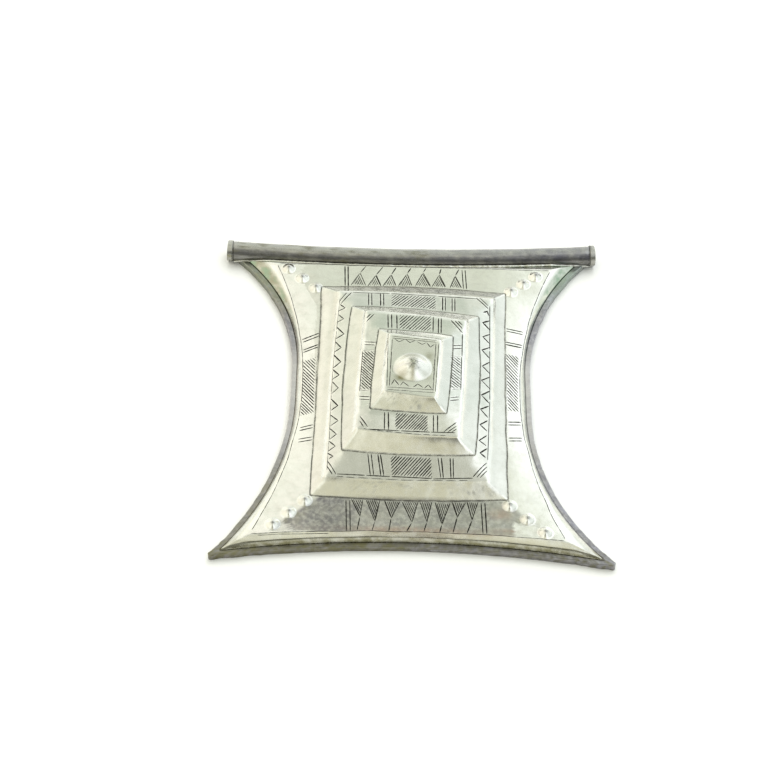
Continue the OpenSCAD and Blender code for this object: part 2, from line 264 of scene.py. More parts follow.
class AmuletColours(bpy.types.PropertyGroup):
    """Colours of the worn silver."""
    bright: colour("Bright silver", "Silver where it is rubbed clean", "#ecebe3")
    # rubbed silver is also laid as painted highlight on faces that mirror the lights
    rubbed: colour("Rubbed silver", "Silver polished by wear on what stands proud", "#fbfaf4")
    dull: colour("Dull silver", "Silver with a thin film of tarnish", "#c6c5b9")
    # dark tarnish is also laid as painted shade: on the tube's lower half, the bottom wall and the crowns of the small
    # bosses
    dark: colour("Dark tarnish", "Silver sulphide left in grooves and corners", "#35342f")
    film: colour("Thin film", "Grey-green silver between the engraved strokes", "#c6cbc0")
    olive: colour("Olive film", "Yellow-brown film on the lower wall", "#8e8a6c")
    # the smoky film is also laid as painted shade on the tube's lower half and on the rim's ends
    smoky_film_and_shade: colour("Smoky tarnish", "Grey-violet film on the lower plate", "#7e7d89")
    copper: colour("Warm tarnish", "Reddish film beside the bottom border", "#b98f77")
    green: colour("Green film", "Copper green that creeps along the walls", "#a3b8a2")
    tube: colour("Tube silver", "Greyer silver of the tube", "#c9c8c2")
    edge: colour("Rim silver", "Grey lilac silver of the cut rim", "#d6d3d3")
    edge_dull: colour("Dull rim silver", "Darker patches of the cut rim", "#9d9a9e")
    floor: colour("Paper", "White paper that the pendant lies on", "#f7f7f6")


def smooth(low, high, value):
    """0 below low, 1 above high, eased between."""
    share = np.clip((value - low) / (high - low), 0.0, 1.0)
    return share * share * (3 - 2 * share)


def mix(a, b, share):
    return a + (b - a) * share


def sag(radius, distance):
    return radius - np.sqrt(radius * radius - distance * distance)


def toward(ring, other, distance):
    """Each point of a ring moved by a distance towards its partner in another ring."""
    step = other - ring
    return ring + step * (distance / np.linalg.norm(step, axis=1, keepdims=True))


def round_over(before, ring, after, reach, count):
    """Rings that round the fold at a ring over, between its neighbours."""
    a, b = toward(ring, before, reach), toward(ring, after, reach)
    shares = np.linspace(0.0, 1.0, count)
    return [(1 - t) ** 2 * a + 2 * t * (1 - t) * ring + t * t * b for t in shares]


def drift(points, size, seed):
    """Smooth noise from -1 to 1 at each point, with waves about that size in millimetres."""
    offset = Vector((seed * 17.3, seed * 5.1, seed * 9.7))
    return np.array([noise.noise(Vector(p) / size + offset) for p in points])


class Plan:
    """Where the pendant's edges lie, in millimetres, seen from the front."""

    def __init__(self, sizes, points):
        for name in AmuletSizes.__annotations__:
            value = getattr(sizes, name)
            setattr(self, name, value if name in ("tube_turn", "flat_lean") else value / MM)
        self.tube_z = self.tube_r + self.band_h + 0.05
        self.bow_r = (self.tube_half ** 2 + self.tube_bow ** 2) / (2 * self.tube_bow)
        self.bow_x = -self.bow_r * math.sin(self.tube_turn)
        self.bow_y = self.tube_y + self.bow_r * math.cos(self.tube_turn)
        steps = np.arange(points) / points
        self.shares = mix(steps, (1 - np.cos(np.pi * steps)) / 2, 0.6)

    def side_x(self, side, y, d):
        upper_y, upper_r, lower_y, lower_r = SIDES[side]
        hollow = np.where(
            y > upper_y, sag(upper_r + d, np.maximum(y - upper_y, 0)),
            sag(lower_r + d, np.maximum(lower_y - y, 0)))
        return side * (self.waist_half - d + hollow)

    def bottom_at(self, x, e):
        return -self.bottom_y + e - sag(self.bottom_r + e, x)

    def top_at(self, x, f):
        return self.bow_y - np.sqrt((self.bow_r + f) ** 2 - (x - self.bow_x) ** 2)

    def flat_x(self, side, y):
        return side * (self.flat_half + sag(self.flat_side_r, y)) + y * math.tan(self.flat_lean)

    def flat_bottom(self, x):
        return -self.flat_bottom_y - sag(self.flat_bottom_r, x)

    def four_sides(self, side_x, bottom, top, start_low, start_high):
        """Ring of points along the bottom, right, top and left edges, in that order."""
        low, high = {}, {}
        for side in (-1, 1):
            low[side], high[side] = start_low, start_high
            for _ in range(12):
                low[side] = float(bottom(side_x(side, low[side])))
                high[side] = float(top(side_x(side, high[side])))
        t = self.shares
        x = mix(side_x(-1, low[-1]), side_x(1, low[1]), t)
        sides = [np.c_[x, bottom(x)]]
        y = mix(low[1], high[1], t)
        sides.append(np.c_[side_x(1, y), y])
        x = mix(side_x(1, high[1]), side_x(-1, high[-1]), t)
        sides.append(np.c_[x, top(x)])
        y = mix(high[-1], low[-1], t)
        sides.append(np.c_[side_x(-1, y), y])
        return np.vstack(sides)

    def outline(self, d, e, f, tip_cut=False):
        """Ring d in from the sides, e in from the bottom and f below the tube's axis, with
        the points of its tips cut off or not."""
        def side_x(side, y):
            x = self.side_x(side, y, d)
            if tip_cut:
                x = side * np.minimum(side * x, (self.tip_left if side < 0 else self.tip_right) - d)
            return x
        return self.four_sides(
            side_x, lambda x: self.bottom_at(x, e), lambda x: self.top_at(x, f), -46.0, 44.0)

    def flat(self):
        return self.four_sides(
            self.flat_x, self.flat_bottom, lambda x: self.flat_top_y + 0 * x, -44.0, 41.0)

    def border(self, soft=0.9):
        """The flat's border, where the sheet has fallen away a little from the first step.
        It keeps its place as seen from the front edge, 40 degrees off the plate's normal."""
        ring = self.soften(self.flat(), soft)
        t = np.tile(2 * self.shares - 1, 4)
        sides = np.repeat((0, 1, 0, 1), len(self.shares))
        drop = np.where(sides == 1, 0.5 - 0.25 * t ** 2, 0.05 + 0.2 * t ** 4)
        ring[:, 1] += drop * math.tan(math.radians(40))
        return at_height(ring, self.flat_z - drop)

    def tier(self, row, soft):
        """Ring of a step from its row in the table, with corners softened by that radius."""
        _, width, long, top_turn, bottom_turn, side_turn, bow, side_bow = row
        w, h = width / 2, long / 2
        lean = h * math.sin(math.radians(side_turn))
        low, up = w * math.sin(math.radians(bottom_turn)), w * math.sin(math.radians(top_turn))
        corners = np.array([
            (lean - w, -h - low), (lean + w, -h + low), (w - lean, h + up), (-w - lean, h - up)])
        ring = []
        for i, out_by in enumerate((bow, side_bow, bow, side_bow)):
            a, b = corners[i], corners[(i + 1) % 4]
            along = (b - a) / np.linalg.norm(b - a)
            out = np.array([along[1], -along[0]])
            t = self.shares[:, None]
            ring.append(mix(a, b, t) + out * out_by * 4 * t * (1 - t))
        return self.soften(np.vstack(ring), soft)

    def soften(self, ring, radius):
        """The ring with each of its four corners rounded off."""
        count, whole = len(self.shares), len(ring)
        done = ring.copy()
        for corner in range(0, whole, count):
            c = ring[corner]
            ends = []
            for step in (-1, 1):
                way = ring[(corner + step) % whole] - c
                ends.append(c + way / np.linalg.norm(way) * radius)
            for k in range(-count // 3, count // 3):
                at = (corner + k) % whole
                gap = np.linalg.norm(ring[at] - c)
                if gap < radius:
                    t = 0.5 + math.copysign(0.5 * gap / radius, k)
                    done[at] = (1 - t) ** 2 * ends[0] + 2 * t * (1 - t) * c + t * t * ends[1]
        return done

    def circle(self, radius):
        turn = np.radians(225 + 360 * np.arange(4 * len(self.shares)) / (4 * len(self.shares)))
        return np.c_[BOSS_AT[0] + radius * np.cos(turn), BOSS_AT[1] + radius * np.sin(turn)]


def at_height(ring, z):
    return np.c_[ring, np.broadcast_to(z, len(ring))]


def start_afresh():
    if bpy.context.object and bpy.context.object.mode != "OBJECT":
        bpy.ops.object.mode_set(mode="OBJECT")
    bpy.ops.object.select_all(action="DESELECT")


def choose(piece):
    start_afresh()
    piece.select_set(True)
    bpy.context.view_layer.objects.active = piece


def skin(name, rings, closed):
    """Solid skin: a circle extruded from ring to ring. A closed one joins its last ring to
    its first, and an open one is drawn together to a point at both ends."""
    start_afresh()
    bpy.ops.mesh.primitive_circle_add(vertices=len(rings[0]), radius=MM, location=(0, 0, 0))
    piece = bpy.context.object
    piece.name = piece.data.name = name
    bpy.ops.object.mode_set(mode="EDIT")
    mesh = bmesh.from_edit_mesh(piece.data)
    place = mesh.verts.layers.int.new("place")
    for vert in mesh.verts:
        vert[place] = vert.index
        vert.co = rings[0][vert.index] * MM
    bpy.ops.mesh.select_all(action="SELECT")
    for ring in rings[1:]:
        bpy.ops.mesh.extrude_edges_move()
        mesh = bmesh.from_edit_mesh(piece.data)
        place = mesh.verts.layers.int["place"]
        for vert in mesh.verts:
            if vert.select:
                vert.co = ring[vert[place]] * MM
    if closed:
        bpy.ops.mesh.select_all(action="DESELECT")
        bpy.ops.mesh.select_mode(type="EDGE")
        mesh = bmesh.from_edit_mesh(piece.data)
        for edge in mesh.edges:
            edge.select_set(len(edge.link_faces) < 2)
        bpy.ops.mesh.bridge_edge_loops()
    else:
        bpy.ops.mesh.merge(type="CENTER")
        bpy.ops.mesh.select_mode(type="EDGE")
        mesh = bmesh.from_edit_mesh(piece.data)
        for edge in mesh.edges:
            edge.select_set(len(edge.link_faces) < 2)
        bpy.ops.mesh.merge(type="CENTER")
    bpy.ops.mesh.select_mode(type="VERT")
    bpy.ops.mesh.select_all(action="SELECT")
    bpy.ops.mesh.normals_make_consistent(inside=False)
    if bmesh.from_edit_mesh(piece.data).calc_volume(signed=True) < 0:
        bpy.ops.mesh.flip_normals()
    bpy.ops.object.mode_set(mode="OBJECT")
    bpy.ops.object.shade_smooth()
    return piece


def finish_piece(piece, materials, angle):
    choose(piece)
    if "place" in piece.data.attributes:
        piece.data.attributes.remove(piece.data.attributes["place"])
    for k, material in enumerate(materials):
        if k < len(piece.data.materials):
            piece.data.materials[k] = material
        else:
            piece.data.materials.append(material)
    bpy.ops.object.shade_smooth_by_angle(angle=math.radians(angle))
    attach(piece, "root")


def store(piece, name, values):
    """One number at each point of a piece, for its material to read."""
    made = piece.data.attributes.new(name, "FLOAT", "POINT")
    made.data.foreach_set("value", np.asarray(values, np.float32))


def points_of(piece):
    """Points of a piece's mesh, in millimetres."""
    flat = np.zeros(len(piece.data.vertices) * 3, np.float32)
    piece.data.vertices.foreach_get("co", flat)
    return flat.reshape(-1, 3).astype(float) / MM


def place_points(piece, points):
    piece.data.vertices.foreach_set("co", (points * MM).astype(np.float32).ravel())
    piece.data.update()


def knob(radius, height, distance):
    """Height of the round boss at a distance from its middle: a flat crown and a soft foot."""
    return height * (1 - np.minimum(distance / radius, 1) ** 2.7) ** 2


def dots():
    """Centres of the twelve small bosses."""
    return [(mix(r[0], r[2], t), mix(r[1], r[3], t)) for r in DOT_ROWS for t in (0.0, 0.5, 1.0)]


def front_rings(plan):
    """Rings of the front sheet, from the middle of its hollow back round to its boss."""
    edge, low = plan.rim_side + plan.seam, plan.rim_bottom + plan.seam
    foot = at_height(plan.soften(plan.outline(edge, low, plan.tube_r + plan.seam), 0.5), plan.rim_h)
    thin = plan.front_sheet
    foot_in = plan.outline(edge + thin, low + thin, plan.tube_r + plan.seam + thin)
    border = plan.border()
    softness = (0.35, 0.7, 0.35, 0.7, 0.3, 0.6)
    steps = [at_height(plan.tier(r, s), plan.flat_z + r[0]) for r, s in zip(TIERS, softness)]
    sharp = [at_height(plan.tier(r, 0.0), plan.flat_z + r[0]) for r in TIERS]
    top = plan.flat_z + TIERS[-1][0]
    boss = at_height(plan.circle(plan.boss_r), top)

    inner = [at_height(plan.circle(0.4 * plan.boss_r), top - thin + 0.75 * plan.boss_h)]
    inner += [at_height(plan.circle(0.95 * plan.boss_r), top - thin)]
    inner += [ring - (0, 0, thin) for ring in reversed(steps)]
    base = at_height(foot_in, 1.8)
    inner += [mix(base, border, 0.8) - (0, 0, thin), mix(base, border, 0.3) - (0, 0, 0.2), base]
    inner += [at_height(foot_in, plan.back_sheet + plan.seam)]

    outer = [at_height(foot[:, :2], plan.back_sheet + plan.seam), at_height(foot[:, :2], 1.3)]
    low_wall = np.zeros(4 * len(plan.shares))
    low_wall[:len(plan.shares)] = smooth(0.0, 0.05, 0.5 - np.abs(plan.shares - 0.5))
    for share in np.r_[0, 0.015, 0.04, 0.09, np.linspace(0.16, 1, 20)]:
        ring = mix(foot, border, share)
        up = mix(np.interp(share, *np.array(WALL).T), np.interp(share, *np.array(LOW_WALL).T), low_wall)
        ring[:, 2] = mix(foot[:, 2], border[:, 2], up)
        outer.append(ring)
    # the flat bends softly from side to side at its corners
    wide = plan.border(0.0)
    for t in np.linspace(0, 1, 20)[1:-1]:
        outer.append(plan.soften(mix(wide, sharp[0], t), mix(0.9, 0.35, t) + 5.0 * math.sin(math.pi * t) ** 2))
    before = outer[-1]
    # the sides and the top of each slope steepen at the rim, and the bottom hardly
    lip = np.repeat((0.15, 1.0, 0.8, 1.0), len(plan.shares))
    lip = np.convolve(np.r_[lip[-4:], lip, lip[:4]], np.ones(9) / 9, "valid")
    for k in range(0, len(steps), 2):
        ground, rim = steps[k], steps[k + 1]
        after = steps[k + 2] if k + 2 < len(steps) else boss
        # a chased line runs round the foot of each step
        outer += [toward(ground, before, 0.42), toward(ground, before, 0.16)]
        outer.append(ground - (0, 0, 0.2))
        outer += [toward(ground, rim, 0.16) + (0, 0, 0.01)]
        slope = []
        for share in (0.1, 0.25, 0.42, 0.58, 0.68, 0.76, 0.84, 0.9):
            ring = mix(ground, rim, share)
            up = mix(share, np.interp(share, *np.array(SLOPE).T), lip)
            ring[:, 2] = mix(ground[:, 2], rim[:, 2], up)
            slope.append(ring)
        outer += slope
        outer += round_over(slope[-1], rim, after, 0.34, 6)
        near = toward(rim, after, 0.34)
        for t in np.linspace(0, 1, 10)[1:-1]:
            ring = mix(near, after, t)
            if k + 2 < len(steps):
                # the ledge between two steps bends softly round its corners
                between = mix(sharp[k + 1], sharp[k + 2], t * 0.9 + 0.1)
                ring = plan.soften(between, 0.6 + 2.6 * math.sin(math.pi * t))
            outer.append(ring)
        before = outer[-1]
    outer += [toward(boss, before, 0.35), toward(boss, before, 0.1)]
    for t in (0.97, 0.9, 0.8, 0.7, 0.6, 0.5, 0.4, 0.3, 0.2, 0.1, 0.05):
        r = t * plan.boss_r
        outer.append(at_height(plan.circle(r), top + knob(plan.boss_r, plan.boss_h, r)))
    return inner, outer


def hammer(rings, plan):
    """The small unevenness that hammering leaves: edges that waver and a rippled sheet."""
    done = []
    for ring in rings:
        in_plan = np.c_[ring[:, :2], np.zeros(len(ring))]
        keep = smooth(2.2, 3.6, ring[:, 2])
        ring = ring.copy()
        ring[:, 0] += keep * (0.16 * drift(in_plan, 7.0, 1) + 0.07 * drift(in_plan, 2.4, 2))
        ring[:, 1] += keep * (0.16 * drift(in_plan, 7.0, 3) + 0.07 * drift(in_plan, 2.4, 4))
        ring[:, 2] += keep * (0.07 * drift(in_plan, 10.0, 5) + 0.016 * drift(in_plan, 3.4, 6))
        done.append(ring)
    return done


def refine(piece, centres, reach):
    """Divides the faces round each centre, so that a small boss can be raised there."""
    choose(piece)
    bpy.ops.object.mode_set(mode="EDIT")
    bpy.ops.mesh.select_mode(type="FACE")
    bpy.ops.mesh.select_all(action="DESELECT")
    mesh = bmesh.from_edit_mesh(piece.data)
    for face in mesh.faces:
        x, y, z = face.calc_center_median() / MM
        if z > 3.2 and face.normal.z > 0:
            face.select_set(any(math.hypot(x - a, y - b) < reach for a, b in centres))
    bpy.ops.mesh.subdivide(number_cuts=3)
    bpy.ops.object.mode_set(mode="OBJECT")


def raise_dots(piece, plan):
    """Pushes the small bosses up out of the sheet."""
    refine(piece, dots(), plan.dot_r + 0.5)
    points = points_of(piece)
    upper = points[:, 2] > plan.flat_z - 1.0
    for x, y in dots():
        far = np.hypot(points[:, 0] - x, points[:, 1] - y)
        inside = upper & (far < plan.dot_r)
        points[inside, 2] += plan.dot_h * (1 - (far[inside] / plan.dot_r) ** 2) ** 1.9
    place_points(piece, points)


def clipped(corners, way, offset):
    """The part of a line inside a convex shape. The line runs along way at that offset."""
    across = np.array([-way[1], way[0]])
    cuts = []
    for a, b in zip(corners, np.roll(corners, -1, axis=0)):
        da, db = a @ across - offset, b @ across - offset
        if da * db < 0:
            cuts.append(mix(a, b, da / (da - db)))
    return cuts if len(cuts) == 2 else None


def hatching(corners, way, spacing, chance):
    """Strokes that fill a convex shape, a little uneven as by hand."""
    way = np.array(way, float) / np.linalg.norm(way)
    across = np.array([-way[1], way[0]])
    reach = np.array(corners) @ across
    found, offset = [], reach.min() + 0.5 * spacing
    while offset < reach.max():
        ends = clipped(np.array(corners, float), way, offset)
        if ends and np.linalg.norm(ends[1] - ends[0]) > 0.5:
            a, b = ends
            along = (b - a) / np.linalg.norm(b - a)
            found.append([a + along * chance.uniform(0.0, 0.22), b - along * chance.uniform(0.0, 0.22)])
        offset += spacing * chance.uniform(0.88, 1.12)
    return found


def engraving(plan):
    """Every engraved stroke as its points and its width."""
    chance = random.Random(7)
    found, count = [], len(plan.shares)
    for row in HATCHED:
        corners = np.array(row[:8]).reshape(4, 2)
        wide = plan.hatch_w * (1.2 if abs(row[0]) < 13 and row[3] < 29 or abs(row[0]) > 22 else 1.0)
        found += [(s, wide) for s in hatching(corners, row[8:10], row[10], chance)]
    for row in TRIANGLES:
        left, point, right, end = np.array(row).reshape(4, 2)
        if point[1] < 0:
            left, right = left + (0, 0.45), right + (0, 0.45)
        along = (end - point) / np.linalg.norm(end - point)
        found.append(([left, mix(left, point, 0.96)], plan.hatch_w))
        found.append(([mix(right, point, 0.04), point + along * 0.1], plan.hatch_w))
        found.append(([point + along * 0.35, end], plan.stroke_w))
        side = right - point if point[1] > 0 else left - point
        inside = [mix(c, (left + point + right) / 3, 0.06) for c in (left, point, right)]
        found += [(s, 0.85 * plan.hatch_w) for s in hatching(inside, side, 0.45, chance)]
    for row in STROKES:
        found.append((list(np.array(row).reshape(2, 2)), plan.stroke_w * (1.15 if abs(row[0]) > 22 else 1.0)))
    # a comb of ticks at the left foot of the last step
    foot = hammer([at_height(plan.tier(TIERS[4], 0.3), 9.0)], plan)[0][3 * count:, :2]
    for a in np.linspace(foot[6], foot[-8], 17):
        found.append(([a - (0.12, 0), a - (0.12 + chance.uniform(0.35, 0.6), 0.1)], plan.fine_w))
    # the border of the flat, in short runs, with a second line along the bottom
    border = hammer([plan.border()], plan)[0][:, :2]
    for side in range(4):
        run = border[np.arange(side * count + 1, side * count + count) % len(border)]
        lines = [run] if side else [run, run[3:count // 3] - (0, 0.45)]
        for line in lines:
            k = 0
            while k < len(line) - 3:
                end = min(len(line) - 1, k + chance.choice((3, 4, 5)))
                found.append((list(line[k:end + 1]), 0.66 * plan.stroke_w))
                k = end
    for k in (1, 3):
        rim = hammer([at_height(plan.tier(TIERS[k], 0.5), 9.0)], plan)[0][:count, :2]
        for a in range(count // 8, count - count // 8 - 4, 5):
            found.append((list(rim[a:a + 5] + (0, 0.3)), plan.fine_w))
    for row in FINE:
        a, b = np.array(row).reshape(2, 2)
        cuts = np.sort([chance.uniform(0.15, 0.9) for _ in range(2)])
        for low, high in zip((0, *cuts), (*cuts, 1)):
            found.append(([mix(a, b, low), mix(a, b, high)], plan.fine_w))
    for row in TEETH:
        a, b, c = np.array(row).reshape(3, 2)
        wide = plan.fine_w * 1.3 if abs(a[0]) < 7 else plan.stroke_w * (1.6 if a[0] > 0 else 1.35)
        found.append(([a, b, c], wide))
    return found


def crosses(one, other, room):
    """True if two strokes come within that distance of each other."""
    a, b = np.array(one), np.array(other)
    if (a.min(0) - room > b.max(0)).any() or (b.min(0) - room > a.max(0)).any():
        return False
    t = np.linspace(0, 1, 24)[:, None]
    p = np.vstack([mix(a[k], a[k + 1], t) for k in range(len(a) - 1)])
    q = np.vstack([mix(b[k], b[k + 1], t) for k in range(len(b) - 1)])
    return np.linalg.norm(p[:, None] - q[None], axis=2).min() < room


def graver(name, strokes, surface):
    """Cutter for strokes that don't touch: a square bar, edge down, along each one."""
    curve = bpy.data.curves.new(name, "CURVE")
    curve.dimensions = "3D"
    curve.twist_mode = "Z_UP"
    curve.bevel_depth = 0.5 * MM
    curve.bevel_resolution = 0
    curve.use_fill_caps = True
    chance = random.Random(3)
    for points, width in strokes:
        ends = [np.array(p, float) for p in points]
        samples = []
        for a, b in zip(ends[:-1], ends[1:]):
            count = max(1, round(float(np.linalg.norm(b - a)) / 0.6))
            samples += [mix(a, b, k / count) for k in range(count)]
        samples.append(ends[-1])
        spline = curve.splines.new("POLY")
        spline.points.add(len(samples) - 1)
        weight = chance.uniform(0.82, 1.12)
        for k, (x, y) in enumerate(samples):
            hit = surface.ray_cast(Vector((x, y, 40)) * MM, Vector((0, 0, -1)))
            z = hit[0].z if hit[0] else plan_floor()
            last = k in (0, len(samples) - 1)
            spline.points[k].co = (x * MM, y * MM, z, 1)
            spline.points[k].radius = width * weight * (0.45 if last else chance.uniform(0.74, 1.12))
    cutter = bpy.data.objects.new(name, curve)
    bpy.context.scene.collection.objects.link(cutter)
    choose(cutter)
    bpy.ops.object.convert(target="MESH")
    cutter = bpy.context.object
    bpy.ops.object.mode_set(mode="EDIT")
    bpy.ops.mesh.select_all(action="SELECT")
    bpy.ops.mesh.remove_doubles(threshold=0.00001 * MM)
    bpy.ops.mesh.normals_make_consistent(inside=False)
    bpy.ops.object.mode_set(mode="OBJECT")
    return cutter


def plan_floor():
    raise RuntimeError("an engraved stroke runs off the front plate")


def cut(piece, cutter):
    """Cuts a cutter out of a piece and removes it. The cut takes the cutter's material."""
    choose(piece)
    tool = piece.modifiers.new("Cut", "BOOLEAN")
    tool.operation = "DIFFERENCE"
    tool.solver = "MANIFOLD"
    tool.object = cutter
    bpy.ops.object.modifier_apply(modifier="Cut")
    bpy.data.objects.remove(cutter)


def drop_flaps(piece):
    """Removes pairs of faces that lie back to back with nothing between, left by the cuts."""
    choose(piece)
    bpy.ops.object.mode_set(mode="EDIT")
    bpy.ops.mesh.select_mode(type="FACE")
    bpy.ops.mesh.select_all(action="DESELECT")
    seen = {}
    for face in bmesh.from_edit_mesh(piece.data).faces:
        seen.setdefault(frozenset(vert.index for vert in face.verts), []).append(face)
    for faces in seen.values():
        for face in faces:
            face.select_set(len(faces) > 1)
    bpy.ops.mesh.delete(type="FACE")
    bpy.ops.object.mode_set(mode="OBJECT")


def add(tree, kind, settings=None, links=None):
    """Adds a node. Settings are its own, and links go to its sockets, as values or sockets."""
    made = tree.nodes.new(kind)
    for name, value in (settings or {}).items():
        setattr(made, name, value)
    for name, value in (links or {}).items():
        if isinstance(value, bpy.types.NodeSocket):
            tree.links.new(value, made.inputs[name])
        else:
            made.inputs[name].default_value = value
    return made


def blank(name):
    """New material with only its output, and the object's coordinates in metres."""
    material = bpy.data.materials.new(name)
    material.use_nodes = True
    tree = material.node_tree
    tree.nodes.clear()
    where = add(tree, "ShaderNodeTexCoord").outputs["Object"]
    return material, tree, where


def ripple(tree, where, size, detail, low, high):
    """Noise with spots of that size in millimetres, spread from 0 at low to 1 at high."""
    spots = add(tree, "ShaderNodeTexNoise", None, {
        "Vector": where, "Scale": 1 / (size * MM), "Detail": detail, "Roughness": 0.55})
    return add(tree, "ShaderNodeMapRange", {"interpolation_type": "SMOOTHSTEP"}, {
        "Value": spots.outputs["Fac"], "From Min": low, "From Max": high}).outputs["Result"]


def times(tree, a, b):
    return add(tree, "ShaderNodeMath", {"operation": "MULTIPLY", "use_clamp": True}, {0: a, 1: b}).outputs[0]


def plus(tree, a, b, factor=1.0):
    """a + b x factor, kept from 0 to 1."""
    return add(tree, "ShaderNodeMath", {"operation": "MULTIPLY_ADD", "use_clamp": True}, {
        0: b, 1: factor, 2: a}).outputs[0]


def over(tree, below, above, share):
    """Colour below covered by colour above as far as share says."""
    mixer = add(tree, "ShaderNodeMix", {"data_type": "RGBA"}, {"Factor": share})
    for socket, value in ((mixer.inputs[6], below), (mixer.inputs[7], above)):
        if isinstance(value, bpy.types.NodeSocket):
            tree.links.new(value, socket)
        else:
            socket.default_value = value
    return mixer.outputs[2]


def read(tree, name):
    return add(tree, "ShaderNodeAttribute", {"attribute_name": name}).outputs["Fac"]


def silver(name, looks, rough, films):
    """Worn silver sheet. Its dull film is thin and patchy and leaves rubbed spots bright, fine grain breaks up the
    reflections, and soot fills what a cloth can't reach. The dark attribute also lays painted shade, and the films also
    lay painted shade and painted highlights, where each piece's masks put them. films are (attribute, colour, patch
    size in mm) laid over it."""
    material, tree, where = blank(name)
    broad = ripple(tree, where, 7.0, 3.0, 0.35, 0.7)
    small = ripple(tree, where, 1.4, 5.0, 0.35, 0.7)
    grain = ripple(tree, where, 0.28, 3.0, 0.3, 0.7)
    tint = over(tree, looks[0], looks[1], plus(tree, times(tree, broad, 0.22), small, 0.30))
    for attribute, hue, size in films:
        patch = ripple(tree, where, size, 4.0, 0.25, 0.7)
        share = times(tree, read(tree, attribute), plus(tree, 0.45, patch, 0.65))
        tint = over(tree, tint, hue, share)
    soot = times(tree, read(tree, "soot"), plus(tree, 0.62, grain, 0.5))
    tint = over(tree, tint, looks[2], soot)
    gloss = plus(tree, plus(tree, plus(tree, rough, small, 0.10), grain, 0.05), soot, 0.25)
    pits = add(tree, "ShaderNodeTexVoronoi", {"feature": "SMOOTH_F1"}, {
        "Vector": where, "Scale": 1 / (1.3 * MM)}).outputs["Distance"]
    dents = add(tree, "ShaderNodeBump", None, {"Strength": 0.14, "Distance": 0.1 * MM, "Height": pits})
    scratches = add(tree, "ShaderNodeBump", None, {
        "Strength": 0.06, "Distance": 0.04 * MM, "Height": grain, "Normal": dents.outputs["Normal"]})
    shader = add(tree, "ShaderNodeBsdfPrincipled", None, {
        "Base Color": tint, "Metallic": 1.0, "Roughness": gloss,
        "Normal": scratches.outputs["Normal"]})
    add(tree, "ShaderNodeOutputMaterial", None, {"Surface": shader.outputs["BSDF"]})
    return material


def groove_silver(hue):
    """Silver sulphide in an engraved stroke: nearly black, dull, rubbed a little on its lips."""
    material, tree, where = blank("Tarnished silver in engraved strokes")
    grain = ripple(tree, where, 0.5, 2.0, 0.35, 0.65)
    lifted = [min(1.0, 3.2 * c) for c in hue[:3]] + [1.0]
    tint = over(tree, hue, lifted, times(tree, grain, 0.6))
    shader = add(tree, "ShaderNodeBsdfPrincipled", None, {
        "Base Color": tint, "Metallic": 0.8, "Roughness": 0.55})
    add(tree, "ShaderNodeOutputMaterial", None, {"Surface": shader.outputs["BSDF"]})
    return material


def spot(points, x, y, wide, high):
    """Soft oval spot on the plan, 1 in its middle."""
    return np.exp(-(((points[:, 0] - x) / wide) ** 2 + ((points[:, 1] - y) / high) ** 2))


def ring_points(plan):
    """Points along the foot of each step, where soot gathers."""
    return [at_height(plan.tier(TIERS[k], 0.5), plan.flat_z + TIERS[k][0]) for k in (0, 2, 4)]


def nearness(points, targets, reach):
    """How near each point is to the nearest target: 1 there, 0 beyond reach."""
    from mathutils.kdtree import KDTree
    tree = KDTree(len(targets))
    for k, target in enumerate(targets):
        tree.insert(Vector(target), k)
    tree.balance()
    gap = np.array([tree.find(Vector(p))[2] for p in points])
    return np.clip(1 - gap / reach, 0, 1)


